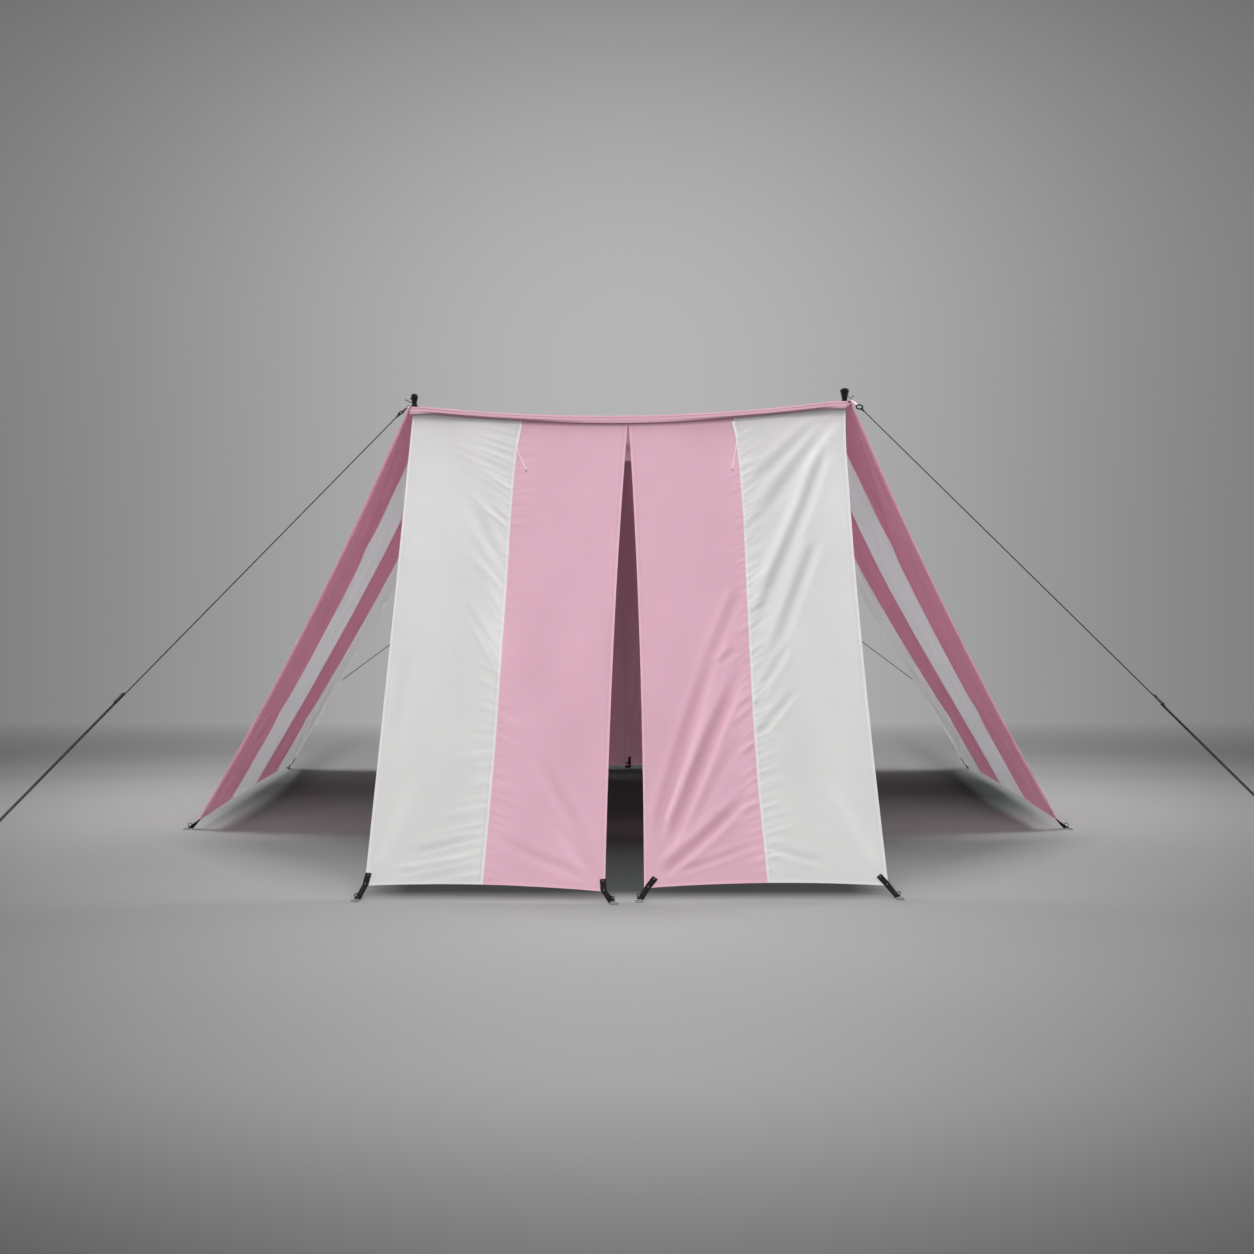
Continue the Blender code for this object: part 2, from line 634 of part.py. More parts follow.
def make_back_straps():
    corner = HALF_W - BACK_STRAP_INSET
    for word, x in (("left", -corner), ("middle", 0.0), ("right", corner)):
        face = BACK_FACE + (WALL_CLOTH + 2 * GAP if word == "middle" else 0.0)
        here = np.array([x, face, BACK_FOOT + STRAP_BEND])
        landing = here + np.array([0, BACK_PEG_OUT, 0])
        strap_and_peg(f"back_{word}", here, (0, 0, 1), np.array([0, 1, 0]), (0, 1), landing)


# Tie tapes and cords on the front wall's seams

def make_ties():
    for side, word in SIDES.items():
        places = [surface_frame(front_point, side, *place) for place in TAPE_PLACES[side]]
        path = [here + normal * TAPE_LIFT for here, normal, _, _ in places]
        ribbon(f"tie_tape_{word}", path, (-1, 0, 0), TAPE_THICK, TAPE_WIDTH, "white")
        tube(f"tie_cord_{word}", smooth_path(TIE_ROUTE[side], TIE_POINT_SPACING), TIE_RADIUS, "tie")


def main():
    clear_scene()
    make_roof()
    make_hems()
    make_wings()
    make_walls()
    make_poles()
    make_guys(make_corner_tabs() | make_rear_tab())
    make_front_straps()
    make_wing_straps()
    make_back_straps()
    make_ties()


main()
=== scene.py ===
"""Dresses the pole tent: striped cotton with seams and folds, straps, pegs, cords, floor and light.

Metres, +Z up, the front towards -Y. Values that differ between the two sides are keyed -1 for
the left and 1 for the right."""

import math

import bpy
import numpy as np
from bpy.props import FloatProperty, FloatVectorProperty, PointerProperty
from bpy.types import Operator, Panel, PropertyGroup
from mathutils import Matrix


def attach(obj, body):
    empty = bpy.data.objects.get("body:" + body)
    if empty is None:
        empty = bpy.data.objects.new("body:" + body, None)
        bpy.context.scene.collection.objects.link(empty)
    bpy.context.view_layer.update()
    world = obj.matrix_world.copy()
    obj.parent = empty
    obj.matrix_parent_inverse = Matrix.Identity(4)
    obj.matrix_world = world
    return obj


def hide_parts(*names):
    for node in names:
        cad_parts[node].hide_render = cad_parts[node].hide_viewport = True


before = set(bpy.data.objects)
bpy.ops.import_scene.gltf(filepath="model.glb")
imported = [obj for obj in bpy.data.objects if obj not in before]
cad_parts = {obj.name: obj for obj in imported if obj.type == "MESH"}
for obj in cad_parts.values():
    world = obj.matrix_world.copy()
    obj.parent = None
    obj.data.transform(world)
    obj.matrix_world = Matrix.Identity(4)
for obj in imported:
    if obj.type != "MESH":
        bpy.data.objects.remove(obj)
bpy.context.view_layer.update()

bl_info = {
    "name": "Pole Tent",
    "version": (1, 0, 0),
    "blender": (4, 5, 0),
    "location": "View3D > Sidebar > Tent",
    "description": "Makes a striped cotton pole tent with its straps, cords and pegs",
    "category": "Object",
}

SIDES = {-1: "left", 1: "right"}
ENDS = {-1: "front", 1: "rear"}

# The solids' own sizes, repeated from the part's source
ROOF_WIDTH = 2.04
ROOF_DEPTH = 2.00
HALF_W = ROOF_WIDTH / 2
HALF_D = ROOF_DEPTH / 2
ROOF_HEIGHT = {-1: 2.004, 1: 2.031}
EAVE_X = {-1: 1.028, 1: 1.046}
EAVE_BOW = {-1: 0.012, 1: 0.040}
EAVE_BOW_END = 0.20
EAVE_BOW_DOWN = 0.30
FRONT_EDGE_SAG = 0.0545
REAR_EDGE_SAG = 0.1125
EAVE_SAG = 0.010
CORNER_PATCH = 0.060
ROOF_CLOTH = 0.003
GAP = 0.0003
HEM_HEIGHT = 0.034
HEM_CLOTH = 0.0035
WING_REACH_FRONT = 1.020
WING_REACH_REAR = 1.065
WING_REACH_BOW = 0.020
WING_FOOT = {"front": 0.050, "rear": 0.034}
WING_FOOT_BOW = 0.024
WING_BEND = 0.13
WING_EDGE_SAG = 0.035
WING_HANG = {-1: 0.036, 1: 0.080}
WING_HANG_FROM_FRONT = {-1: 0.70, 1: 0.80}
WALL_CLOTH = 0.0037
WALL_INSET = 0.008
WALL_NECK = 0.02
WALL_HEM_ROOM = 0.004
FRONT_REACH = 1.345
FRONT_FORWARD = {-1: 0.070, 1: 0.030}
FRONT_FOOT = 0.042
FRONT_FOOT_INNER = {-1: 0.035, 1: 0.039}
FRONT_FOOT_BOW = 0.016
FRONT_TOP_HALF = 1.016
FRONT_BOTTOM_HALF = {-1: 1.002, 1: 0.989}
FRONT_EDGE_PULL = {-1: 0.003, 1: 0.016}
FRONT_TOP_EASE = {-1: 0.0, 1: 0.013}
FRONT_EASE_DOWN = 0.14
FRONT_SAG = 0.030
SLIT_HALF = {-1: 0.0867, 1: 0.0595}
SLIT_BOW = {-1: 0.72, 1: 1.10}
BACK_FOOT = 0.024
BACK_FOOT_BOW = 0.010
BACK_LAP = 0.040
BACK_LAP_EASE = (0.060, 0.160)

# How the cloth is cut and sewn
STRIPE = 0.5
STRIPE_SEAMS = (0.5, 1.0, 1.5)
WING_LENGTH = 2.21
FRONT_WIDTH = 0.93
FRONT_LENGTH = 2.37
FRONT_SPLIT = 0.4743
BACK_LENGTH = 1.90
BACK_SPLIT = 0.51
HEM = 0.0125
HEM_EDGE = 0.0015
WEAVE_PITCH = 0.0016

# Faces that meet at more than this angle have a sharp edge between them
SHARP_ANGLE = math.radians(40)

# Colours of the small parts and of what shows only in places
LINING = (0.66, 0.47, 0.53)
LINING_GLOW = (0.80, 0.53, 0.61)
# Painted shade: a dark red copy of the pink webbing for the tab's shaded underside.
WEBBING_PAINTED_SHADE = (0.20, 0.035, 0.055)
RIVET = (0.16, 0.16, 0.155)
STRAP_WORN = (0.030, 0.029, 0.027)
STRAP_THREAD = (0.022, 0.021, 0.021)
GUY_FLECK = (0.030, 0.030, 0.031)
TIE = (0.80, 0.70, 0.71)
TIE_FLECK = (0.80, 0.50, 0.56)
TIE_TIP = (0.05, 0.035, 0.035)


# Settings

class TentClothSettings(PropertyGroup):
    white: FloatVectorProperty(
        name="White", description="Colour of the white stripes", subtype="COLOR",
        size=3, min=0, max=1, default=(0.695, 0.693, 0.680))
    pink: FloatVectorProperty(
        name="Pink", description="Colour of the pink stripes", subtype="COLOR",
        size=3, min=0, max=1, default=(0.765, 0.490, 0.590))
    white_glow: FloatVectorProperty(
        name="White glow", description="Colour of light that comes through the white stripes",
        subtype="COLOR", size=3, min=0, max=1, default=(0.70, 0.70, 0.72))
    pink_glow: FloatVectorProperty(
        name="Pink glow", description="Colour of light that comes through the pink stripes",
        subtype="COLOR", size=3, min=0, max=1, default=(0.59, 0.35, 0.43))
    glow: FloatProperty(
        name="Glow", description="Share of the light that passes through the cloth",
        subtype="FACTOR", min=0, max=1, default=0.44)
    thickness: FloatProperty(
        name="Thickness", description="Thickness of one layer of cloth", unit="LENGTH",
        min=0.0004, max=0.003, default=0.0012)
    folds: FloatProperty(
        name="Folds", description="Depth of the pulled folds, as a multiple", min=0, max=4, default=2.0)
    puckers: FloatProperty(
        name="Puckers", description="Depth of the gathers at the seams, as a multiple",
        min=0, max=4, default=2.0)


class TentFittingSettings(PropertyGroup):
    plastic: FloatVectorProperty(
        name="Plastic", description="Colour of the knobs, rings and runners", subtype="COLOR",
        size=3, min=0, max=1, default=(0.004, 0.004, 0.0042))
    strap: FloatVectorProperty(
        name="Strap", description="Colour of the pegging straps", subtype="COLOR",
        size=3, min=0, max=1, default=(0.0060, 0.0058, 0.0056))
    guy: FloatVectorProperty(
        name="Guy", description="Colour of the guy lines", subtype="COLOR",
        size=3, min=0, max=1, default=(0.012, 0.012, 0.0125))
    steel: FloatVectorProperty(
        name="Steel", description="Colour of the pegs and rings of wire", subtype="COLOR",
        size=3, min=0, max=1, default=(0.30, 0.30, 0.29))
    pole: FloatVectorProperty(
        name="Pole", description="Colour of the pole tubes", subtype="COLOR",
        size=3, min=0, max=1, default=(0.60, 0.61, 0.62))


class TentStageSettings(PropertyGroup):
    floor: FloatVectorProperty(
        name="Floor", description="Colour of the floor in front of the tent", subtype="COLOR",
        size=3, min=0, max=1, default=(0.235, 0.233, 0.232))
    # Painted shadow: the colour painted on the floor under the tent, a little green against the pink light
    # there.
    painted_shadow_and_wear: FloatVectorProperty(
        name="Painted floor shadow", description="Colour of the floor under the tent", subtype="COLOR",
        size=3, min=0, max=1, default=(0.019, 0.027, 0.024))
    key: FloatProperty(
        name="Key light", description="Strength of the large light above the front",
        unit="POWER", min=0, default=255.0)
    front: FloatProperty(
        name="Front light", description="Strength of the wide light behind the camera",
        unit="POWER", min=0, default=430.0)
    side: FloatProperty(
        name="Side lights", description="Strength of the low light at either side",
        unit="POWER", min=0, default=97.0)
    top: FloatProperty(
        name="Top light", description="Strength of the light over the roof",
        unit="POWER", min=0, default=230.0)
    horizon: FloatProperty(
        name="Horizon", description="Brightness of the backdrop behind the tent", min=0, default=0.34)
    surround: FloatProperty(
        name="Surround", description="Brightness of the backdrop at the sides", min=0, default=0.12)


# Meshes made from grids of points

def quads(grid):
    """The four corners of every cell of a grid, in order round the cell."""
    corners = np.stack([grid[:-1, :-1], grid[:-1, 1:], grid[1:, 1:], grid[1:, :-1]], axis=2)
    return corners.reshape((-1, 4) + grid.shape[2:])


def unit(vectors):
    return vectors / np.maximum(np.linalg.norm(vectors, axis=-1, keepdims=True), 1e-12)


def smooth(t):
    """0 below 0, 1 above 1, and 3t^2 - 2t^3 between."""
    t = np.clip(t, 0, 1)
    return t * t * (3 - 2 * t)


class Shape:
    """Closed skins gathered into one mesh, with three UV maps and a material number for each face."""

    def __init__(self):
        self.points, self.faces, self.maps, self.slots = [], [], [], []
        self.count = 0

    def skin(self, rings, uv, extra=None, slots=0, closed=False):
        """Joins rings of points, row by row. rings is (rows, around, 3), with around even.

        uv and extra, which holds the second and third map, have one more column, and one more row
        on a skin that is closed along its length. A skin that isn't gets ends of four-sided faces
        between its two halves."""
        rows, around = rings.shape[:2]
        index = self.count + np.arange(rows * around).reshape(rows, around)
        index = np.concatenate([index, index[:, :1]], axis=1)
        if closed:
            index = np.concatenate([index, index[:1]], axis=0)
        maps = np.zeros(uv.shape[:2] + (6,))
        maps[..., :2] = uv
        if extra is not None:
            maps[..., 2:2 + extra.shape[-1]] = extra
        slots = np.broadcast_to(slots, around)
        faces = [quads(index)]
        corners = [quads(maps)]
        numbers = [np.tile(slots, len(index) - 1)]
        if not closed:
            near = np.arange(around // 2 - 1)
            ring = np.stack([near, near + 1, around - 2 - near, around - 1 - near], axis=1)
            for row, order in ((0, [1, 0, 3, 2]), (-1, [0, 1, 2, 3])):
                faces.append(index[row][ring[:, order]])
                corners.append(maps[row][ring[:, order]])
                numbers.append(slots[near])
        faces = np.concatenate(faces)
        corners = np.concatenate(corners)
        flat = rings.reshape(-1, 3)
        a, b, c, d = (flat[faces[:, k] - self.count] for k in range(4))
        volume = np.sum(a * (np.cross(b, c) + np.cross(c, d)))
        if volume < 0:
            faces = faces[:, ::-1]
            corners = corners[:, ::-1]
        self.points.append(flat)
        self.faces.append(faces)
        self.maps.append(corners)
        self.slots.append(np.concatenate(numbers))
        self.count += len(flat)

    def mesh(self, name):
        mesh = bpy.data.meshes.new(name)
        mesh.from_pydata(np.concatenate(self.points).tolist(), [], np.concatenate(self.faces).tolist())
        maps = np.concatenate(self.maps).reshape(-1, 6)
        for layer, columns in (("UVMap", [0, 1]), ("Hem", [2, 3]), ("PaintedLight", [4, 5])):
            mesh.uv_layers.new(name=layer).data.foreach_set("uv", maps[:, columns].ravel())
        mesh.polygons.foreach_set("material_index", np.concatenate(self.slots).astype(np.int32))
        mesh.shade_smooth()
        mesh.set_sharp_from_angle(angle=SHARP_ANGLE)
        mesh.update()
        return mesh


def add_piece(name, shape, materials, slot, *nodes):
    """Puts a shape into the scene as a piece that rides on the tent and stands for its solids."""
    mesh = shape.mesh(name)
    for material in materials:
        mesh.materials.append(material)
    piece = bpy.data.objects.new(name, mesh)
    bpy.context.scene.collection.objects.link(piece)
    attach(piece, "root")
    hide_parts(*nodes)
    return piece


def lines(spans, marks=()):
    """Places along a length: about a step apart in each (from, to, step) span, every mark kept."""
    out = []
    for low, high, step in spans:
        inner = [m for m in marks if low < m < high]
        fixed = np.unique(np.round([low, *inner, high], 6))
        for a, b in zip(fixed, fixed[1:]):
            out.append(np.linspace(a, b, max(1, int(round((b - a) / step))) + 1)[:-1])
    return np.concatenate(out + [[spans[-1][1]]])


def grid_normals(points, facing):
    """Unit normals of a grid of points, on the side that facing points to."""
    normal = unit(np.cross(np.gradient(points, axis=1), np.gradient(points, axis=0)))
    return normal * np.sign(np.mean(normal @ np.asarray(facing, float)))


def drift(u, v, pitch_u, pitch_v, seed):
    """Smooth random waves between -1 and 1: values on a lattice, eased from point to point."""
    x, y = u / pitch_u, v / pitch_v
    i, j = np.floor(x).astype(int), np.floor(y).astype(int)
    table = np.random.default_rng(seed).uniform(-1, 1, (64, 64))
    fx, fy = smooth(x - i), smooth(y - j)
    low = table[i % 64, j % 64] * (1 - fx) + table[(i + 1) % 64, j % 64] * fx
    high = table[i % 64, (j + 1) % 64] * (1 - fx) + table[(i + 1) % 64, (j + 1) % 64] * fx
    return low * (1 - fy) + high * fy


def fold(u, v, line, width, height, fade=(0.15, 0.35)):
    """A soft ridge along a line of (u, v) points: height x exp(-(distance / width)^2).

    It rises over the first share of its length and dies away over the last; a negative
    height makes a valley. width is one value, or one at each end."""
    line = np.asarray(line, float)
    steps = np.diff(line, axis=0)
    lengths = np.linalg.norm(steps, axis=1)
    starts = np.concatenate([[0], np.cumsum(lengths)])
    near = np.full(np.shape(u), 1e9)
    run = np.zeros(np.shape(u))
    for start, step, length, before in zip(line, steps, lengths, starts):
        t = np.clip(((u - start[0]) * step[0] + (v - start[1]) * step[1]) / length ** 2, 0, 1)
        far = np.hypot(u - start[0] - t * step[0], v - start[1] - t * step[1])
        closer = far < near
        near = np.where(closer, far, near)
        run = np.where(closer, before + t * length, run)
    run = run / starts[-1]
    widths = np.broadcast_to(width, 2)
    spread = widths[0] + (widths[1] - widths[0]) * run
    ends = smooth(run / fade[0]) * smooth((1 - run) / fade[1])
    return height * ends * np.exp(-(near / spread) ** 2)


def drawn(u, v, line, width, height, fade=(0.15, 0.35)):
    """A valley pulled tight between two low ridges, as where cloth is drawn to a corner."""
    deep = fold(u, v, line, width, -height, fade)
    steps = np.diff(np.asarray(line, float), axis=0).sum(axis=0)
    side = np.array([-steps[1], steps[0]]) / np.hypot(*steps)
    for sign, share in ((1, 0.75), (-1, 0.45)):
        moved = np.asarray(line, float) + side * sign * np.mean(width) * 1.5
        deep = deep + fold(u, v, moved, width, height * share, fade)
    return deep


def puckers(u, v, seam, away, rows, seed):
    """Gathers that leave a seam on one side of it, each a short ridge that starts at the seam.

    Each row gives (from v, to v, rise at both, reach at both, width, height, pitch). Rise is
    how far a gather climbs for each metre away from the seam."""
    rng = np.random.default_rng(seed)
    total = np.zeros(np.shape(u))
    for v0, v1, rise0, rise1, reach0, reach1, width, height, pitch in rows:
        for t in np.linspace(0, 1, max(2, int((v1 - v0) / pitch))):
            at = v0 + (v1 - v0) * t + rng.uniform(-0.4, 0.4) * pitch
            rise = (rise0 + (rise1 - rise0) * t) * rng.uniform(0.8, 1.2)
            reach = (reach0 + (reach1 - reach0) * t) * rng.uniform(0.55, 1.35)
            ahead = np.array([away, -rise]) / math.hypot(1, rise)
            start = np.array([float(np.interp(at, *seam)), at])
            bend = start + ahead * reach * 0.5
            tip = bend + unit(ahead + np.array([0, rng.uniform(-0.12, 0.12)])) * reach * 0.5
            size = height * rng.uniform(0.5, 1.3)
            wide = width * rng.uniform(0.8, 1.25)
            total = total + fold(u, v, [start, bend, tip], (wide * 0.8, wide * 1.5), size, (0.12, 0.7))
    return total


def cloth(shape, outer, facing, thickness, uv, hem, stripes, painted_shading_and_mottle=None, lining=None):
    """Adds a sheet: its outer face, an inner face behind it along the normal, and its rim.

    outer is (rows, columns, 3), thickness one value or one for each point, stripes the material
    number of each column of faces, and lining the number of the inner face where it has one of
    its own. The painted light that makes the outside lighter makes the inside darker, and the
    inner face gets no painted shadow."""
    normal = grid_normals(outer, facing)
    inner = outer - normal * np.broadcast_to(thickness, outer.shape[:2])[..., None]
    painted_shading_and_mottle = np.zeros(outer.shape[:2] + (2,)) if painted_shading_and_mottle is None else painted_shading_and_mottle
    extra = np.concatenate([hem, painted_shading_and_mottle], axis=-1)
    behind = extra * (1, 1, -1, 0)
    rings = np.concatenate([outer, inner[:, ::-1]], axis=1)
    within = stripes[::-1] if lining is None else np.full(len(stripes), lining)
    slots = np.concatenate([stripes, stripes[-1:], within, stripes[:1]])
    shape.skin(rings, np.concatenate([uv, uv[:, ::-1], uv[:, :1]], axis=1),
               np.concatenate([extra, behind[:, ::-1], extra[:, :1]], axis=1), slots)


def painted_fold_light(relief, rows, shade=0.0):
    """Painted light on folds: how much lighter the cloth is painted on ridges and on slopes that face up,
    and how deep the painted shadow is.

    The first is 30 x relief + 0.45 x its rise for each metre down, where rows are the way down."""
    painted_shading_and_mottle_tone = 30 * relief + 0.45 * np.gradient(relief, rows, axis=0)
    return np.stack(np.broadcast_arrays(np.clip(painted_shading_and_mottle_tone, -0.5, 0.5), shade), axis=-1)


# Long pieces: tubes, straps, turned pieces and rings

def smooth_path(points, spacing):
    """Points at even distances along a Catmull-Rom curve through the given points."""
    pts = [np.asarray(p, float) for p in points]
    pts = [2 * pts[0] - pts[1]] + pts + [2 * pts[-1] - pts[-2]]
    fine = []
    for a, b, c, d in zip(pts, pts[1:], pts[2:], pts[3:]):
        t = np.linspace(0, 1, 24, endpoint=False)[:, None]
        fine.append(0.5 * (2 * b + (c - a) * t + (2 * a - 5 * b + 4 * c - d) * t ** 2
                           + (3 * b - a - 3 * c + d) * t ** 3))
    return even_path(np.concatenate(fine + [[pts[-2]]]), spacing)


def even_path(points, spacing):
    """Points at even distances along straight pieces between the given points."""
    points = np.asarray(points, float)
    run = np.concatenate([[0], np.cumsum(np.linalg.norm(np.diff(points, axis=0), axis=1))])
    even = np.linspace(0, run[-1], max(2, int(round(run[-1] / spacing)) + 1))
    return np.stack([np.interp(even, run, points[:, k]) for k in range(3)], axis=1)


def path_run(path):
    return np.concatenate([[0], np.cumsum(np.linalg.norm(np.diff(path, axis=0), axis=1))])


def bar(shape, path, radius, side, around=12, slots=0):
    """Adds a round bar along a path. radius is one value or one for each point.

    Its section is the circle centre + radius x (cos a x right + sin a x up), where right is
    at right angles to the path and to side. Rounded ends are three short steps inwards."""
    path = np.asarray(path, float)
    radius = np.broadcast_to(np.asarray(radius, float), len(path))
    steps = np.array([0.0, 0.35, 0.75])
    first, last = unit(path[1] - path[0]), unit(path[-1] - path[-2])
    head = path[0] + first * (steps * radius[0])[:, None]
    tail = path[-1] - last * (steps[::-1] * radius[-1])[:, None]
    shrink = np.array([0.35, 0.78, 0.96])
    path = np.concatenate([head, path[1:-1], tail])
    radius = np.concatenate([shrink * radius[0], radius[1:-1], shrink[::-1] * radius[-1]])
    ahead = unit(np.gradient(path, axis=0))
    right = unit(np.cross(ahead, np.asarray(side, float)))
    up = np.cross(right, ahead)
    angle = np.linspace(0, 2 * math.pi, around, endpoint=False)[None, :, None]
    wave = np.cos(angle) * right[:, None] + np.sin(angle) * up[:, None]
    rings = path[:, None] + wave * radius[:, None, None]
    run = path_run(path)
    uv = np.stack(np.broadcast_arrays(np.linspace(0, 1, around + 1)[None, :], run[:, None]), axis=-1)
    shape.skin(rings, uv, slots=slots)


def strap(shape, path, across, thickness, width, corner=0.0006, slots=0, taper=None):
    """Adds a flat strap with rounded edges along a path, which is the line on its underside.

    It is wide along across and thick on the side of across x direction of travel, as in the
    solids. taper gives the share of the full width at each point."""
    path = np.asarray(path, float)
    across = unit(np.broadcast_to(np.asarray(across, float), path.shape))
    up = unit(np.cross(across, np.gradient(path, axis=0)))
    taper = np.ones(len(path)) if taper is None else np.asarray(taper, float)
    corner = min(corner, thickness * 0.45)
    turn = np.radians([180, 225, 270, 270, 315, 360, 0, 45, 90, 90, 135, 180])
    centre_x = np.repeat([-1, 1, 1, -1], 3)
    centre_z = np.repeat([0, 0, 1, 1], 3)
    x = centre_x * (width / 2 - corner) + corner * np.cos(turn)
    z = np.where(centre_z > 0, thickness - corner, corner) + corner * np.sin(turn)
    order = np.roll(np.arange(12), 3)
    x, z = x[order], z[order]
    rings = (path[:, None] + across[:, None] * (x[None, :] * taper[:, None])[..., None]
             + up[:, None] * z[None, :, None])
    run = path_run(path)
    wrap = np.append(x, x[0])
    uv = np.stack(np.broadcast_arrays(wrap[None, :], run[:, None]), axis=-1)
    edge = np.stack(np.broadcast_arrays(width / 2 - np.abs(wrap)[None, :], run[:, None]), axis=-1)
    shape.skin(rings, uv, edge, slots)


def turned(shape, profile, centre, axis=(0, 0, 1), around=32, slots=0):
    """Adds a turned piece: (radius, height) pairs carried round an axis, closed at both poles."""
    profile = np.asarray(profile, float)
    axis = unit(np.asarray(axis, float))
    right = unit(np.cross(axis, (0.13, 0.98, 0.11)))
    up = np.cross(axis, right)
    angle = np.linspace(0, 2 * math.pi, around, endpoint=False)[None, :, None]
    radius = np.maximum(profile[:, 0], 1e-5)[:, None, None]
    rings = (np.asarray(centre, float) + axis * profile[:, 1][:, None, None]
             + radius * (np.cos(angle) * right + np.sin(angle) * up))
    run = np.concatenate([[0], np.cumsum(np.hypot(*np.diff(profile, axis=0).T))])
    uv = np.stack(np.broadcast_arrays(np.linspace(0, 1, around + 1)[None, :], run[:, None]), axis=-1)
    shape.skin(rings, uv, slots=slots)


def ring(shape, centre, ahead, up, radius, wire, around=48, section=12, slots=0):
    """Adds a ring of wire: a small circle carried round a large one in the plane of two directions."""
    ahead, up = unit(np.asarray(ahead, float)), unit(np.asarray(up, float))
    normal = np.cross(ahead, up)
    a = np.linspace(0, 2 * math.pi, around, endpoint=False)[:, None, None]
    b = np.linspace(0, 2 * math.pi, section, endpoint=False)[None, :, None]
    radial = ahead * np.cos(a) + up * np.sin(a)
    rings = np.asarray(centre, float) + radial * (radius + wire * np.cos(b)) + normal * wire * np.sin(b)
    u = np.linspace(0, 1, section + 1)[None, :]
    v = np.linspace(0, 2 * math.pi * radius, around + 1)[:, None]
    shape.skin(rings, np.stack(np.broadcast_arrays(u, v), axis=-1), slots=slots, closed=True)


# Shader nodes written as expressions

class Value:
    """A number socket. Python's operators on it add Math nodes and give the result's socket."""

    def __init__(self, tree, socket):
        self.tree = tree
        self.socket = socket

    def math(self, operation, *others, swap=False, clamp=False):
        node = self.tree.nodes.new("ShaderNodeMath")
        node.operation = operation
        node.use_clamp = clamp
        terms = [self, *others]
        if swap:
            terms.reverse()
        for socket, term in zip(node.inputs, terms):
            if isinstance(term, Value):
                self.tree.links.new(term.socket, socket)
            else:
                socket.default_value = term
        return Value(self.tree, node.outputs[0])

    def __add__(self, other):
        return self.math("ADD", other)

    __radd__ = __add__

    def __mul__(self, other):
        return self.math("MULTIPLY", other)

    __rmul__ = __mul__

    def __sub__(self, other):
        return self.math("SUBTRACT", other)

    def __rsub__(self, other):
        return self.math("SUBTRACT", other, swap=True)

    def __truediv__(self, other):
        return self.math("DIVIDE", other)

    def __pow__(self, other):
        return self.math("POWER", other)

    def sin(self):
        return self.math("SINE")

    def abs(self):
        return self.math("ABSOLUTE")

    def mod(self, size):
        return self.math("FLOORED_MODULO", size)

    def below(self, limit):
        return self.math("LESS_THAN", limit)

    def above(self, limit):
        return self.math("GREATER_THAN", limit)

    def clamp(self):
        return self.math("ADD", 0.0, clamp=True)

    def line(self, middle, half):
        """1 within half of middle, and 0 elsewhere."""
        return (self - middle).abs().below(half)


class Finish:
    """A material under construction. add takes a node's type, its settings and its sockets."""

    def __init__(self, name):
        self.material = bpy.data.materials.new(name)
        self.material.use_nodes = True
        self.tree = self.material.node_tree
        self.tree.nodes.clear()

    def add(self, kind, settings=None, inputs=None):
        node = self.tree.nodes.new(kind)
        for key, value in (settings or {}).items():
            setattr(node, key, value)
        for key, value in (inputs or {}).items():
            socket = node.inputs[key]
            if isinstance(value, Value):
                self.tree.links.new(value.socket, socket)
            elif isinstance(value, bpy.types.NodeSocket):
                self.tree.links.new(value, socket)
            elif isinstance(value, (tuple, list)) and socket.type == "RGBA":
                socket.default_value = (*value[:3], 1.0)
            else:
                socket.default_value = value
        return node

    def value(self, node, output=0):
        return Value(self.tree, node.outputs[output])

    def pair(self, layer):
        """The two numbers of a UV map."""
        place = self.add("ShaderNodeUVMap", {"uv_map": layer}).outputs[0]
        parts = self.add("ShaderNodeSeparateXYZ", {}, {"Vector": place})
        return self.value(parts, 0), self.value(parts, 1)

    def noise(self, place, scale, detail=2.0, roughness=0.5):
        """Noise between 0 and 1 on a vector socket."""
        node = self.add("ShaderNodeTexNoise", {"noise_dimensions": "3D"},
                        {"Vector": place, "Scale": scale, "Detail": detail, "Roughness": roughness})
        return self.value(node)

    def blend(self, factor, a, b):
        """A colour between a and b."""
        node = self.add("ShaderNodeMix", {"data_type": "RGBA"})
        for socket, value in ((node.inputs[0], factor), (node.inputs[6], a), (node.inputs[7], b)):
            if isinstance(value, Value):
                self.tree.links.new(value.socket, socket)
            elif isinstance(value, bpy.types.NodeSocket):
                self.tree.links.new(value, socket)
            elif isinstance(value, (tuple, list)):
                socket.default_value = (*value[:3], 1.0)
            else:
                socket.default_value = value
        return node.outputs[2]

    def stretch(self, place, scale):
        """A vector socket scaled along its axes."""
        return self.add("ShaderNodeMapping", {}, {"Vector": place, "Scale": scale}).outputs[0]

    def output(self, shader):
        node = self.add("ShaderNodeOutputMaterial")
        self.tree.links.new(shader, node.inputs["Surface"])
        return self.material


def tone(colour, factor):
    return tuple(min(1.0, c * factor) for c in colour)


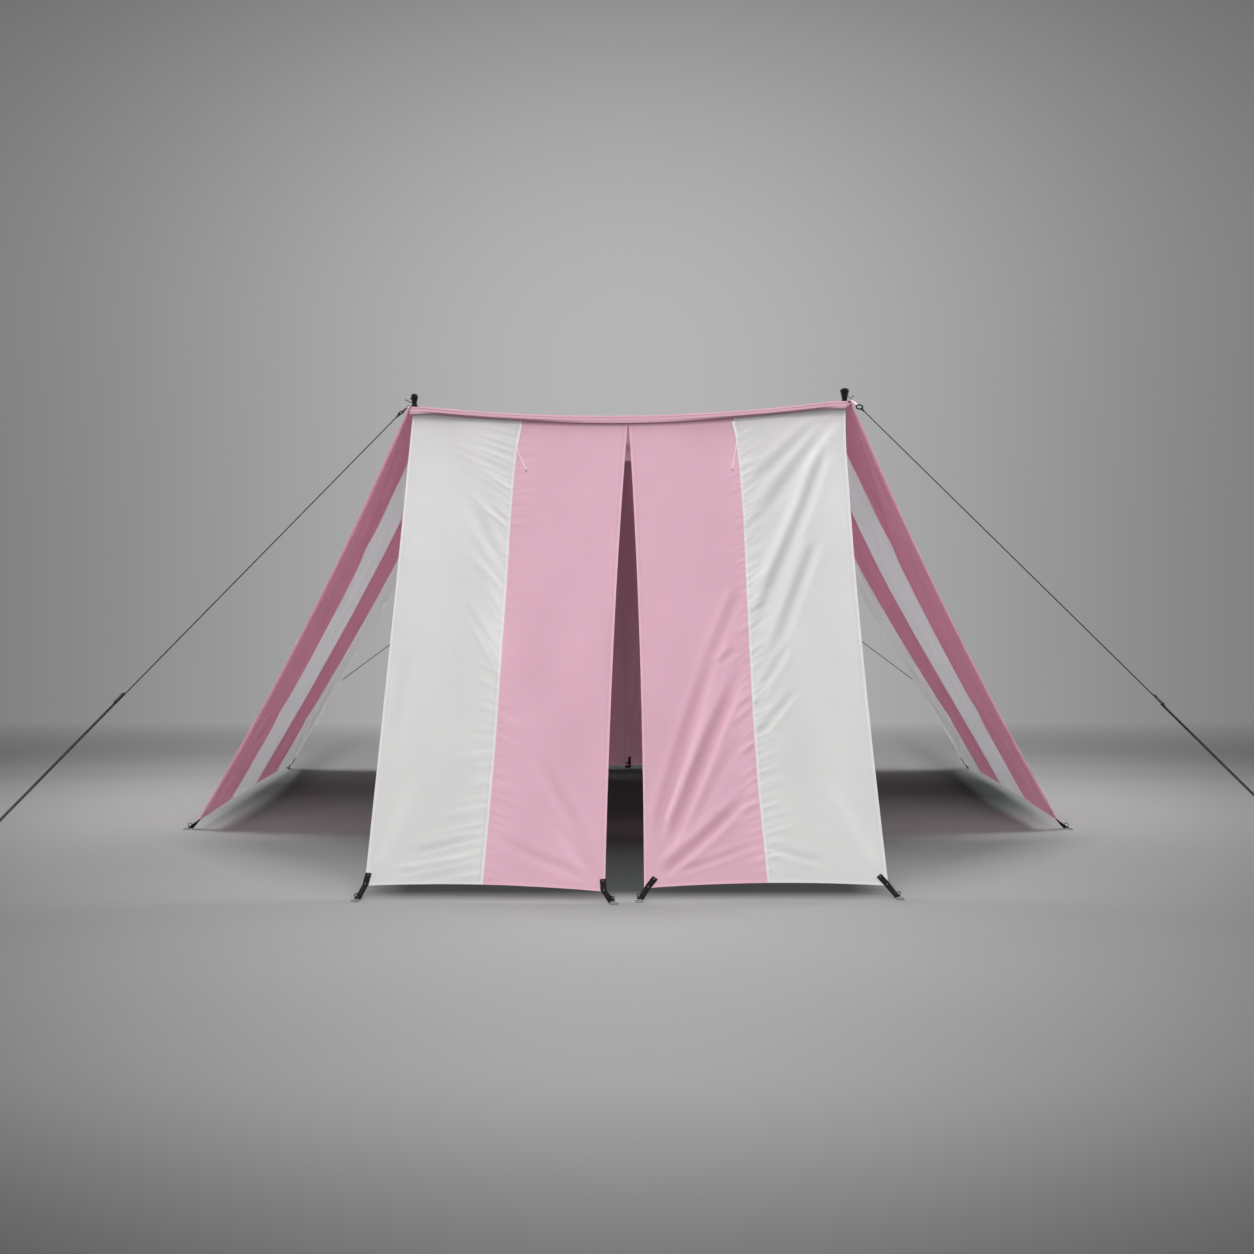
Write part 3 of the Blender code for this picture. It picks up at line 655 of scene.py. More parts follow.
def cotton(name, colour, glow, share):
    """Plain-woven cotton: threads and slubs in the relief; clouds, painted light and shade on the folds
    and painted shadow in the colour; lighter double cloth at hems and seams with a painted shadow
    line beside them and a row of stitches; and light that comes through."""
    f = Finish(name)
    uv = f.add("ShaderNodeUVMap", {"uv_map": "UVMap"}).outputs[0]
    u, v = f.pair("UVMap")
    edge, run = f.pair("Hem")
    painted_shading_and_mottle_tone, shade = f.pair("PaintedLight")
    warp = (u * (2 * math.pi / WEAVE_PITCH)).sin()
    weft = (v * (2 * math.pi / WEAVE_PITCH)).sin()
    weave = warp * weft * 0.5 + 0.5
    slubs = (f.noise(f.stretch(uv, (1, 14, 1)), 26.0, 3.0, 0.6)
             + f.noise(f.stretch(uv, (14, 1, 1)), 26.0, 3.0, 0.6))
    clouds = f.noise(uv, 2.6, 4.0, 0.55)
    creases = f.noise(f.stretch(uv, (1, 0.8, 1)), 11.0, 3.0, 0.55)
    stitch = edge.line(0.0108, 0.0007) * run.mod(0.0036).below(0.0024)
    # Painted shadow: a darker line along the inner edge of each hem.
    hem_shadow_line = edge.line(0.0136, 0.0012)
    band = 1 - (edge - HEM).math("MULTIPLY", 900.0, clamp=True)
    # Painted light and shade on the folds comes in with the first number of the third UV map; clouds, slubs
    # and weave vary the tone.
    light = (painted_shading_and_mottle_tone + (clouds - 0.5) * 0.22 + (slubs - 1.0) * 0.06 + (weave - 0.5) * 0.03
             + band * 0.22 - hem_shadow_line * 0.18)
    base = f.blend((light + 0.5).clamp(), tone(colour, 0.74), tone(colour, 1.22))
    base = f.blend(stitch * 0.45, base, tone(colour, 0.72))
    # Painted shadow, from the second number of the third UV map.
    base = f.blend(shade, base, tone(colour, 0.25))
    relief = creases + slubs * 0.10 + weave * 0.02 - stitch * 0.10
    bump = f.add("ShaderNodeBump", {}, {"Strength": 1.0, "Distance": 0.0030, "Height": relief})
    skin = f.add("ShaderNodeBsdfPrincipled", {}, {
        "Base Color": base, "Roughness": clouds * 0.10 + 0.84, "Normal": bump.outputs[0],
        "Specular IOR Level": 0.20, "Sheen Weight": 0.12, "Sheen Roughness": 0.45})
    through = f.add("ShaderNodeBsdfTranslucent", {}, {"Color": glow, "Normal": bump.outputs[0]})
    mixed = f.add("ShaderNodeMixShader", {}, {0: share, 1: skin.outputs[0], 2: through.outputs[0]})
    return f.output(mixed.outputs[0])


def webbing(name, colour):
    """Herringbone webbing: slanted ribs that turn at the middle, with faint dust."""
    f = Finish(name)
    u, v = f.pair("UVMap")
    rib = ((u.abs() + v) * (2 * math.pi / 0.0022)).sin() * 0.5 + 0.5
    dust = f.noise(f.add("ShaderNodeTexCoord").outputs["Object"], 90.0, 3.0)
    base = f.blend((rib * 0.7 + dust * 0.3).clamp(), tone(colour, 0.72), tone(colour, 1.15))
    bump = f.add("ShaderNodeBump", {}, {"Strength": 0.8, "Distance": 0.0006, "Height": rib})
    skin = f.add("ShaderNodeBsdfPrincipled", {}, {
        "Base Color": base, "Roughness": dust * 0.15 + 0.75, "Normal": bump.outputs[0],
        "Specular IOR Level": 0.25})
    return f.output(skin.outputs[0])


def leather(name, colour):
    """Grained strap leather, dull: fine pores, scuffs and scuffed edges, and a row of stitches."""
    f = Finish(name)
    place = f.add("ShaderNodeTexCoord").outputs["Object"]
    edge, run = f.pair("Hem")
    cells = f.value(f.add("ShaderNodeTexVoronoi", {"feature": "DISTANCE_TO_EDGE"},
                          {"Vector": place, "Scale": 850.0}))
    scuff = f.noise(place, 130.0, 4.0, 0.6)
    # The strap's rubbed edges, worn lighter.
    painted_shadow_and_wear = (1 - edge * 700.0).clamp() * scuff
    stitch = edge.line(0.0030, 0.0004) * run.mod(0.0040).below(0.0027)
    base = f.blend(scuff, tone(colour, 0.70), tone(colour, 1.9))
    base = f.blend(painted_shadow_and_wear * 0.4, base, STRAP_WORN)
    base = f.blend(stitch * 0.5, base, STRAP_THREAD)
    relief = cells + scuff * 0.3 + stitch * 0.4
    bump = f.add("ShaderNodeBump", {}, {"Strength": 0.45, "Distance": 0.0005, "Height": relief})
    skin = f.add("ShaderNodeBsdfPrincipled", {}, {
        "Base Color": base, "Roughness": scuff * 0.22 + 0.62, "Normal": bump.outputs[0],
        "Specular IOR Level": 0.07})
    return f.output(skin.outputs[0])


def plastic(name, colour):
    """Moulded plastic: fine spark-eroded grain, and handling marks in the gloss."""
    f = Finish(name)
    place = f.add("ShaderNodeTexCoord").outputs["Object"]
    grain = f.noise(place, 1400.0, 2.0)
    marks = f.noise(place, 60.0, 4.0, 0.6)
    base = f.blend(marks, tone(colour, 0.8), tone(colour, 1.6))
    bump = f.add("ShaderNodeBump", {}, {"Strength": 0.25, "Distance": 0.0003, "Height": grain})
    skin = f.add("ShaderNodeBsdfPrincipled", {}, {
        "Base Color": base, "Roughness": marks * 0.25 + 0.55, "Normal": bump.outputs[0],
        "Specular IOR Level": 0.09})
    return f.output(skin.outputs[0])


def drawn_metal(name, colour, roughness, streak=(220, 220, 3)):
    """Drawn metal: fine streaks along its length, dull patches, and dirt."""
    f = Finish(name)
    place = f.add("ShaderNodeTexCoord").outputs["Object"]
    streaks = f.noise(f.stretch(place, streak), 1.0, 3.0, 0.6)
    patches = f.noise(place, 28.0, 4.0, 0.55)
    base = f.blend(patches, tone(colour, 0.80), tone(colour, 1.10))
    bump = f.add("ShaderNodeBump", {}, {"Strength": 0.15, "Distance": 0.0002, "Height": streaks})
    skin = f.add("ShaderNodeBsdfPrincipled", {}, {
        "Base Color": base, "Metallic": 1.0, "Roughness": streaks * 0.10 + patches * 0.12 + roughness,
        "Normal": bump.outputs[0]})
    return f.output(skin.outputs[0])


def braid(name, colour, other, strands=6, pitch=0.011):
    """Braided cord: two sets of strands wound in opposite directions, with a fleck colour."""
    f = Finish(name)
    u, v = f.pair("UVMap")
    left = ((u * strands + v / pitch) * (2 * math.pi)).sin()
    right = ((u * strands - v / pitch) * (2 * math.pi)).sin()
    knots = left * right * 0.5 + 0.5
    fleck = left.above(0.55) * 0.8
    base = f.blend(fleck, tone(colour, 0.9), other)
    base = f.blend(knots * 0.5, base, tone(colour, 1.2))
    bump = f.add("ShaderNodeBump", {}, {"Strength": 0.9, "Distance": 0.0007, "Height": knots})
    skin = f.add("ShaderNodeBsdfPrincipled", {}, {
        "Base Color": base, "Roughness": knots * 0.1 + 0.75, "Normal": bump.outputs[0],
        "Specular IOR Level": 0.25})
    return f.output(skin.outputs[0])


FINISHES = {}


def finish(name):
    """The material of that name, made once from the settings."""
    if name not in FINISHES:
        scene = bpy.context.scene
        c, h = scene.tent_cloth, scene.tent_fittings
        makers = {
            "white": lambda: cotton("white_cotton", tuple(c.white), tuple(c.white_glow), c.glow),
            "pink": lambda: cotton("pink_cotton", tuple(c.pink), tuple(c.pink_glow), c.glow),
            "lining": lambda: cotton("roof_lining", LINING, LINING_GLOW, c.glow),
            "pink_webbing": lambda: webbing("pink_webbing", tone(tuple(c.pink), 0.92)),
            "pink_painted_shade": lambda: webbing("webbing_painted_shade", WEBBING_PAINTED_SHADE),
            "tape": lambda: webbing("white_tape", tone(tuple(c.white), 0.95)),
            "plastic": lambda: plastic("black_plastic", tuple(h.plastic)),
            "leather": lambda: leather("strap_leather", tuple(h.strap)),
            "rivet": lambda: drawn_metal("rivet_metal", RIVET, 0.40, (90, 90, 90)),
            "steel": lambda: drawn_metal("peg_wire", tuple(h.steel), 0.50, (140, 140, 140)),
            "pole": lambda: drawn_metal("pole_tube", tuple(h.pole), 0.28),
            "guy": lambda: braid("guy_braid", tuple(h.guy), GUY_FLECK),
            "tie": lambda: braid("tie_braid", TIE, TIE_FLECK, 3, 0.006),
            "tie_end": lambda: plastic("tie_tip", TIE_TIP),
        }
        FINISHES[name] = makers[name]()
    return FINISHES[name]


# The cloth surfaces, as in the solids

def crown(x, half):
    """1 in the middle of an edge, falling with the square to 0 where the corner patches begin."""
    return np.clip(1 - (x / (half - CORNER_PATCH)) ** 2, 0, 1)


def roof_z(x, y):
    """Height of the roof's upper face: level corners, with edges and middle sagging between them."""
    lift = ROOF_HEIGHT[-1] + (ROOF_HEIGHT[1] - ROOF_HEIGHT[-1]) * (x + HALF_W) / ROOF_WIDTH
    back = (y + HALF_D) / ROOF_DEPTH
    sag = (FRONT_EDGE_SAG * (1 - back) + REAR_EDGE_SAG * back) * crown(x, HALF_W)
    return lift - sag - EAVE_SAG * crown(y, HALF_D)


def eave_in(side, along):
    """How far an eave is drawn in between its corners: its bow, eased in from both ends."""
    return EAVE_BOW[side] * smooth(along / EAVE_BOW_END) * smooth((1 - along) / EAVE_BOW_END)


def wing_point(side, along, down):
    """A wing's outer face: straight lines from eave to foot, bent a little outwards with the
    square of the way down, with the front and rear edges drawn in by a sine, with the cloth
    behind the front edge hanging in by depth x 27/4 x down x (1 - down)^2, and with the eave
    drawn in by its bow, which dies away with the square of the way down."""
    bow = 4 * along * (1 - along)
    y = -HALF_D + ROOF_DEPTH * along
    pull = WING_EDGE_SAG * np.sin(np.pi * down) * (1 - 2 * along)
    reach = WING_REACH_FRONT * (1 - along) + WING_REACH_REAR * along - WING_REACH_BOW * bow * down ** 2
    top = roof_z(side * EAVE_X[side], y)
    hang = WING_HANG[side] * smooth(along / WING_HANG_FROM_FRONT[side]) * 6.75 * down * (1 - down) ** 2
    foot = WING_FOOT["front"] * (1 - along) + WING_FOOT["rear"] * along + WING_FOOT_BOW * bow
    reach = reach - (EAVE_X[side] - HALF_W)
    x = EAVE_X[side] + GAP + reach * ((1 - WING_BEND) * down + WING_BEND * down ** 2) - hang
    x = x - eave_in(side, along) * np.clip(1 - down / EAVE_BOW_DOWN, 0, 1) ** 2
    z = top + (foot - top) * down
    return np.stack(np.broadcast_arrays(side * x, y + pull, z), axis=-1)


def front_point(side, across, down):
    """A front panel's outer face: upright behind the roof's band for a short way, then straight
    down and forwards to the foot, with a belly of sine x parabola inwards, and the slit's foot
    drawn forwards with the square of the fall."""
    outer = FRONT_TOP_HALF + (FRONT_BOTTOM_HALF[side] - FRONT_TOP_HALF) * down
    outer = outer - FRONT_EDGE_PULL[side] * np.sin(np.pi * down)
    outer = outer + FRONT_TOP_EASE[side] * np.clip(1 - down / FRONT_EASE_DOWN, 0, 1) ** 2
    slit = GAP + SLIT_HALF[side] * down * (1 + SLIT_BOW[side] * (1 - down))
    x = side * (slit + (outer - slit) * across)
    head = roof_z(x, WALL_INSET + WALL_CLOTH - HALF_D) - ROOF_CLOTH - 2 * GAP
    chin = head - HEM_HEIGHT - WALL_HEM_ROOM
    fall = np.clip((down - WALL_NECK) / (1 - WALL_NECK), 0, 1)
    bow = 4 * across * (1 - across)
    foot = FRONT_FOOT * across + FRONT_FOOT_INNER[side] * (1 - across) + FRONT_FOOT_BOW * bow
    z = np.where(down < WALL_NECK, head + (chin - head) * down / WALL_NECK, chin + (foot - chin) * fall)
    y = -HALF_D + WALL_INSET - (FRONT_REACH + WALL_INSET) * fall + FRONT_SAG * np.sin(np.pi * fall) * bow
    y = y - FRONT_FORWARD[side] * (1 - across) * fall ** 2
    return np.stack(np.broadcast_arrays(x, y, z), axis=-1)


def back_point(side, across, down):
    """A back panel's outer face: upright, and the right one laps behind the left at the middle."""
    lap = BACK_LAP if side > 0 else 0.0
    x = side * (-lap + (EAVE_X[side] - WALL_INSET + lap) * across)
    head = roof_z(x, HALF_D) - ROOF_CLOTH - 2 * GAP
    foot = BACK_FOOT + BACK_FOOT_BOW * 4 * across * (1 - across)
    z = head + (foot - head) * down
    near, far = BACK_LAP_EASE
    step = (WALL_CLOTH + 2 * GAP) * np.clip((far - np.abs(x)) / (far - near), 0, 1) if side > 0 else 0.0
    y = HALF_D - WALL_INSET + step + WALL_CLOTH + 0.0 * down
    return np.stack(np.broadcast_arrays(x, y, z), axis=-1)


def surface_frame(surface, side, a, b):
    """A point of a cloth surface, its outward normal, and the directions along and up it."""
    step = 0.002
    here = surface(side, np.array(a), np.array(b))
    along = surface(side, np.array(a + step), np.array(b)) - here
    upward = surface(side, np.array(a), np.array(b - step)) - here
    normal = np.cross(along, upward)
    facing = np.array([side, 0, 1]) if surface is wing_point else np.array([0, -1, 0])
    normal = normal * np.sign(normal @ facing) / np.linalg.norm(normal)
    return here, normal, unit(along), unit(upward)


def hem_map(u, v, width, height, seams_u=(), seams_v=()):
    """Distance from the nearest edge or seam, and the way run along it, at every point."""
    gaps = [u, width - u, v, height - v]
    runs = [v, v, u, u]
    for seam in seams_u:
        gaps.append(np.where(u >= seam, u - seam, 9.0))
        runs.append(v)
    for seam in seams_v:
        gaps.append(np.where(v >= seam, v - seam, 9.0))
        runs.append(u)
    gaps, runs = np.array(np.broadcast_arrays(*gaps)), np.array(np.broadcast_arrays(*runs))
    nearest = np.argmin(gaps, axis=0)[None]
    return np.stack([np.take_along_axis(a, nearest, axis=0)[0] for a in (gaps, runs)], axis=-1)


def marks(length, seams=()):
    """Grid places that catch the step in thickness at both hems and beside every seam."""
    out = [HEM, HEM + HEM_EDGE, length - HEM - HEM_EDGE, length - HEM]
    for seam in seams:
        out += [seam - HEM_EDGE, seam, seam + HEM, seam + HEM + HEM_EDGE]
    return out


def hem_step(hem, extra=0.0008):
    """Extra thickness of the double cloth: extra within a hem's width of an edge or seam."""
    return extra * (1 - smooth((hem[..., 0] - HEM) / HEM_EDGE))


# Pieces

class TENT_OT_stage(Operator):
    bl_idname = "tent.stage"
    bl_label = "Stage"

    def execute(self, context):
        """The camera, the floor, the backdrop, three large soft lights and one at either side."""
        settings = context.scene.tent_stage
        camera = bpy.data.cameras.new("camera")
        camera.lens = 40.05
        camera.sensor_width = 36.0
        camera.shift_x = -0.00096
        camera.clip_end = 200.0
        eye = bpy.data.objects.new("camera", camera)
        eye.location = (0.0, -7.6, 1.252)
        eye.rotation_euler = (math.pi / 2 - 0.043, 0.0, 0.0)
        context.scene.collection.objects.link(eye)
        context.scene.camera = eye
        context.scene.view_settings.view_transform = "Standard"

        mesh = bpy.data.meshes.new("floor")
        size = 60.0
        mesh.from_pydata([(-size, -size, 0), (size, -size, 0), (size, size, 0), (-size, size, 0)],
                         [], [(0, 1, 2, 3)])
        floor = bpy.data.objects.new("floor", mesh)
        context.scene.collection.objects.link(floor)
        mesh.materials.append(self.floor_finish(settings))

        self.light(context, "key_light", (0.0, -5.2, 4.6), (0.0, -1.6, 0.9), (9.0, 2.6), settings.key)
        self.light(context, "front_light", (0.0, -9.4, 2.9), (0.0, -1.6, 1.1), (9.0, 3.0), settings.front)
        self.light(context, "top_light", (0.0, 0.7, 5.6), (0.0, 0.5, 0.0), (4.0, 3.0), settings.top)
        for side, word in SIDES.items():
            self.light(context, f"side_light_{word}", (side * 6.2, 1.0, 2.9), (side * 1.5, -0.3, 1.1),
                       (2.4, 2.0), settings.side, 60.0)
        self.backdrop(context, settings)
        return {"FINISHED"}

    def floor_finish(self, settings):
        """Matt paint with faint clouds. Its colour holds a painted pool of light, exp(-distance squared)
        round a place before the tent, and a painted shadow under the tent, and it fades out far from it."""
        f = Finish("floor_paint")
        place = f.add("ShaderNodeTexCoord").outputs["Object"]
        clouds = f.noise(place, 0.8, 4.0)
        colour = tuple(settings.floor)
        parts = f.add("ShaderNodeSeparateXYZ", {}, {"Vector": place})
        x, y = f.value(parts, 0), f.value(parts, 1)
        # Painted pool of light: the floor's colour falls from full round a place before the tent to 0.14 of
        # it far away, widening towards the back.
        spread = (y * 0.909 + 5.88).math("MAXIMUM", 0.8)
        near = (y + 4.1).math("MINIMUM", 0.0) * 0.89
        beyond = (y + 2.4).math("MAXIMUM", 0.0) * 0.10
        away = (x / spread) ** 2 + near * near + beyond * beyond
        painted_light_pool = (away * -1.0).math("EXPONENT")
        base = f.blend((painted_light_pool * 0.94 + clouds * 0.06).clamp(), tone(colour, 0.14), tone(colour, 1.00))
        # Painted shadow under the tent.
        base = f.blend(self.painted_shadow_and_wear(x, y), base, tuple(settings.painted_shadow_and_wear))
        skin = f.add("ShaderNodeBsdfPrincipled", {}, {
            "Base Color": base, "Roughness": 0.85, "Specular IOR Level": 0.15})
        far = (x * x + y * y) ** 0.5
        fade = ((y - 1.0) / 2.6).clamp().math("MAXIMUM", ((far - 7.0) / 6.0).clamp())
        clear = f.add("ShaderNodeBsdfTransparent")
        mixed = f.add("ShaderNodeMixShader", {}, {0: fade, 1: skin.outputs[0], 2: clear.outputs[0]})
        return f.output(mixed.outputs[0])

    def painted_shadow_and_wear(self, x, y):
        """How much painted shadow the floor gets under the tent, 0 to 1: nearly full between the walls,
        paler in a bell round y = -0.95, less under the wings with a painted contact shadow along their
        feet, and fading towards their front and outer edges."""
        wide = x.abs()
        bell = (((y + 0.95) / 0.30) ** 2 * -1.0).math("EXPONENT")
        middle = (0.95 - bell * 0.26) * ((y + 2.42) * 6.0).clamp() * ((1.9 - y) * 1.4).clamp()
        rear = (y + 0.92).clamp() * ((1.1 - y) * 1.4).clamp() * ((2.18 - wide) * 8.0).clamp()
        half = ((y + 2.36) / 1.30).clamp() * 1.02 + 1.30
        ahead = ((-1.05 - y) * 4.0).clamp() * (y + 2.48).clamp() * ((half - wide) * 2.2).clamp()
        foot = (((wide - 2.0) / 0.13) ** 2 * -1.0).math("EXPONENT") * ((y + 0.9) * 2.0).clamp() * 0.35
        sides = (rear * 0.66 + ahead * 0.50) * (x * 0.08 + 1.0) + foot
        inner = ((1.06 - wide) * 5.0).clamp()
        return (inner * middle + (1.0 - inner) * sides).clamp()

    def light(self, context, name, place, target, size, power, spread=180.0):
        lamp = bpy.data.lights.new(name, "AREA")
        lamp.shape = "RECTANGLE"
        lamp.size, lamp.size_y = size
        lamp.spread = math.radians(spread)
        lamp.energy = power
        obj = bpy.data.objects.new(name, lamp)
        obj.location = place
        ahead = unit(np.subtract(target, place))
        obj.rotation_euler = (math.acos(-ahead[2]), 0.0, math.atan2(ahead[0], -ahead[1]) + math.pi)
        obj.visible_camera = False
        context.scene.collection.objects.link(obj)

    def backdrop(self, context, settings):
        """A world that is brightest low down straight ahead and falls off to the sides and up."""
        world = bpy.data.worlds.new("backdrop")
        world.use_nodes = True
        tree = world.node_tree
        tree.nodes.clear()
        place = tree.nodes.new("ShaderNodeTexCoord")
        parts = tree.nodes.new("ShaderNodeSeparateXYZ")
        tree.links.new(place.outputs["Generated"], parts.inputs[0])
        x, z = Value(tree, parts.outputs[0]), Value(tree, parts.outputs[2])
        ahead = ((x * x) * (-1 / 0.375 ** 2)).math("EXPONENT")
        rise = (z - 0.15).math("MAXIMUM", 0.0)
        fall = (1 - rise * rise * 8.0).math("MAXIMUM", 0.35)
        strength = (ahead * settings.horizon + settings.surround) * fall
        glow = tree.nodes.new("ShaderNodeBackground")
        glow.inputs["Color"].default_value = (1.0, 1.0, 1.0, 1.0)
        tree.links.new(strength.socket, glow.inputs["Strength"])
        output = tree.nodes.new("ShaderNodeOutputWorld")
        tree.links.new(glow.outputs[0], output.inputs["Surface"])
        context.scene.world = world


# Folds of the roof from each corner: (turn from the eaves' crossing, length)
ROOF_FOLDS = [(0.22, 0.62), (0.42, 0.75), (0.68, 0.85), (0.95, 0.7), (1.25, 0.55)]


class TENT_OT_roof(Operator):
    bl_idname = "tent.roof"
    bl_label = "Roof"

    def execute(self, context):
        """The roof of four stripes from side to side, on a grid of x and y, with its outer halves
        drawn in to the bowed eaves and light drag folds from the corner patches."""
        settings = context.scene.tent_cloth
        v = lines([(0, ROOF_DEPTH, 0.014)], marks(ROOF_DEPTH, STRIPE_SEAMS))
        width = EAVE_X[-1] + EAVE_X[1]
        u = lines([(0, width, 0.016)], marks(width))
        uu, vv = np.meshgrid(u, v, indexing="ij")
        x, y = uu - EAVE_X[-1], vv - HALF_D
        for side in SIDES:
            near = np.clip((side * x - HALF_W / 2) / (EAVE_X[side] - HALF_W / 2), 0, 1)
            x = x - side * eave_in(side, vv / ROOF_DEPTH) * near
        hem = hem_map(uu, vv, width, ROOF_DEPTH, (), STRIPE_SEAMS)
        height = drift(uu, vv, 0.22, 0.30, 11) * 0.0020 + drift(uu, vv, 0.9, 0.06, 12) * 0.0006
        for cx, cy in ((0, 0), (width, 0), (0, ROOF_DEPTH), (width, ROOF_DEPTH)):
            toward = (1 if cx == 0 else -1, 1 if cy == 0 else -1)
            for angle, length in ROOF_FOLDS:
                ends = [(cx + toward[0] * math.cos(angle) * far, cy + toward[1] * math.sin(angle) * far)
                        for far in (CORNER_PATCH, length)]
                height = height + fold(uu, vv, ends, (0.012, 0.045), 0.0030 * settings.folds)
        ease = smooth(np.minimum.reduce([uu, width - uu, vv, ROOF_DEPTH - vv]) / 0.05)
        z = roof_z(x, y) + height * ease - 0.0008 + hem_step(hem)
        stripes = np.floor((v[:-1] + v[1:]) / 2 / STRIPE).astype(int) % 2
        shape = Shape()
        thick = settings.thickness + 2 * hem_step(hem) * 0.8
        outer = np.stack([x, y, z], axis=-1)
        cloth(shape, outer, (0, 0, 1), thick, np.stack([uu, vv], axis=-1), hem, stripes, lining=2)
        piece = add_piece("roof_cloth", shape, [finish("pink"), finish("white"), finish("lining")],
                          "pink_cloth", "roof")
        return {"FINISHED"}


# The stretch over which the band's right end narrows
BAND_TAPER = 0.034


class TENT_OT_bands(Operator):
    bl_idname = "tent.bands"
    bl_label = "Bands"

    def execute(self, context):
        """The bands turned down along the roof's front and rear edges: x by the way down, a raised
        strip, a crease, a belly, and a lower edge tucked back most halfway to both ends. Its right
        end narrows, by a smoothed step, to a point."""
        settings = context.scene.tent_cloth
        width = EAVE_X[-1] + EAVE_X[1]
        for end, place in ENDS.items():
            u = lines([(0, width, 0.006)])
            v = np.linspace(0, 1, 27)
            uu, vv = np.meshgrid(u, v, indexing="ij")
            x = uu - EAVE_X[-1]
            tuck = smooth((np.abs(x) - 0.10) / 0.45) * (1 - smooth((np.abs(x) - 0.90) / 0.10))
            corner = smooth((np.abs(x) - 0.62) / 0.25)
            strip = smooth(vv / 0.05) * (1 - smooth((vv - 0.24) / 0.05))
            crease = np.exp(-((vv - 0.30) / 0.035) ** 2) * (0.30 + 0.70 * corner)
            belly = np.sin(np.pi * np.clip((vv - 0.32) / 0.5, 0, 1))
            under = smooth((vv - 0.74) / 0.26) * (0.35 + 0.65 * tuck)
            waves = drift(uu, vv * 0.3, 0.11, 1.0, 21 + end) * 0.0006 * smooth(vv / 0.5)
            pinch = np.exp(-(x / 0.012) ** 2) * 0.0010
            out = (0.0022 + 0.0012 * strip - 0.0010 * crease + 0.0014 * belly - 0.0060 * under
                   + waves - pinch)
            drop = HEM_HEIGHT * vv * (1 - 0.10 * tuck * (vv > 0.5))
            y = end * (HALF_D + GAP + np.clip(out, -0.0035, HEM_CLOTH + 0.002))
            taper = smooth((x - EAVE_X[1] + BAND_TAPER) / BAND_TAPER)
            z = roof_z(x, end * HALF_D) - drop * (1 - 0.75 * taper) + 0.0002 - 0.010 * taper
            hem = np.stack([0.0108 - np.abs(vv - 0.27) * HEM_HEIGHT, uu], axis=-1)
            # Painted light: the raised strip a little lighter, the crease and the turned-under lower edge
            # painted darker, and painted shadow on the edge where it tucks back.
            below = smooth((vv - 0.60) / 0.20) * tuck
            painted_shading_and_mottle = np.stack([0.10 * strip - 0.45 * crease - 0.30 * under, 0.80 * below], axis=-1)
            shape = Shape()
            cloth(shape, np.stack([x, y, z], axis=-1), (0, end, 0), settings.thickness,
                  np.stack([uu, vv * HEM_HEIGHT], axis=-1), hem, np.zeros(len(v) - 1, int), painted_shading_and_mottle)
            piece = add_piece(f"band_{place}", shape, [finish("pink")], "pink_cloth", f"{place}_hem")
        return {"FINISHED"}


# Folds of the wings: from and to, as (metres back, metres down), width, depth
WING_FOLDS = [
    ((0.02, 0.03), (0.34, 1.25), 0.030, 0.0060),
    ((0.03, 0.02), (0.62, 0.95), 0.035, 0.0050),
    ((0.05, 2.18), (0.30, 1.35), 0.030, 0.0055),
    ((0.05, 2.18), (0.62, 1.55), 0.035, 0.0045),
    ((1.97, 0.03), (1.66, 1.10), 0.030, 0.0050),
    ((1.96, 2.18), (1.62, 1.35), 0.032, 0.0050),
    ((1.95, 2.18), (1.30, 1.70), 0.032, 0.0035),
]
WING_EDGE_VALLEY = [(0.030, 0.25), (0.045, 1.1), (0.032, 2.0)]


class TENT_OT_wings(Operator):
    bl_idname = "tent.wings"
    bl_label = "Wings"

    def execute(self, context):
        """The two wings, on a grid of the way back and the way down, with long soft folds from the
        upper corners to the feet, and the front hem curled outwards with a smoothed step."""
        settings = context.scene.tent_cloth
        length = WING_LENGTH
        for side, word in SIDES.items():
            v = lines([(0, 0.024, 0.004), (0.024, ROOF_DEPTH, 0.020)], marks(ROOF_DEPTH, STRIPE_SEAMS))
            d = lines([(0, length, 0.010)], marks(length))
            dd, vv = np.meshgrid(d, v, indexing="ij")
            hem = hem_map(dd, vv, length, ROOF_DEPTH, (), STRIPE_SEAMS)
            base = wing_point(side, vv / ROOF_DEPTH, dd / length)
            normal = grid_normals(base, (side, 0, 1))
            height = (drift(vv, dd, 0.16, 0.9, 31 + side) * 0.0035
                      + drift(vv, dd, 0.07, 0.25, 33 + side) * 0.0010)
            for start, tip, wide, deep in WING_FOLDS:
                widths = (wide * 0.4, wide * 1.4)
                height = height + fold(vv, dd, [start, tip], widths, deep * settings.folds)
            height = height - fold(vv, dd, WING_EDGE_VALLEY, 0.008, 0.0022, (0.1, 0.1))
            ease = (smooth(dd / 0.06) * smooth((length - dd) / 0.04)
                    * smooth(np.minimum(vv, ROOF_DEPTH - vv) / 0.02))
            flare = 0.0075 * (1 - smooth(vv / 0.018)) * smooth((dd - 0.03) / 0.12)
            relief = height * ease
            outer = base + normal * (relief + flare + hem_step(hem) - 0.0010)[..., None]
            thick = settings.thickness + 1.6 * hem_step(hem)
            stripes = np.floor((v[:-1] + v[1:]) / 2 / STRIPE).astype(int) % 2
            shape = Shape()
            # Painted light and shade on the folds, and random mottle in the tone.
            painted_shading_and_mottle = painted_fold_light(relief, d)
            painted_shading_and_mottle[..., 0] += (drift(vv, dd, 0.040, 0.55, 35 + side) * 0.11
                              + drift(vv, dd, 0.11, 0.15, 37 + side) * 0.09)
            cloth(shape, outer, (side, 0, 1), thick, np.stack([dd, vv], axis=-1), hem, stripes, painted_shading_and_mottle)
            piece = add_piece(f"wing_cloth_{word}", shape, [finish("pink"), finish("white")],
                              "pink_cloth", f"wing_{word}")
        return {"FINISHED"}


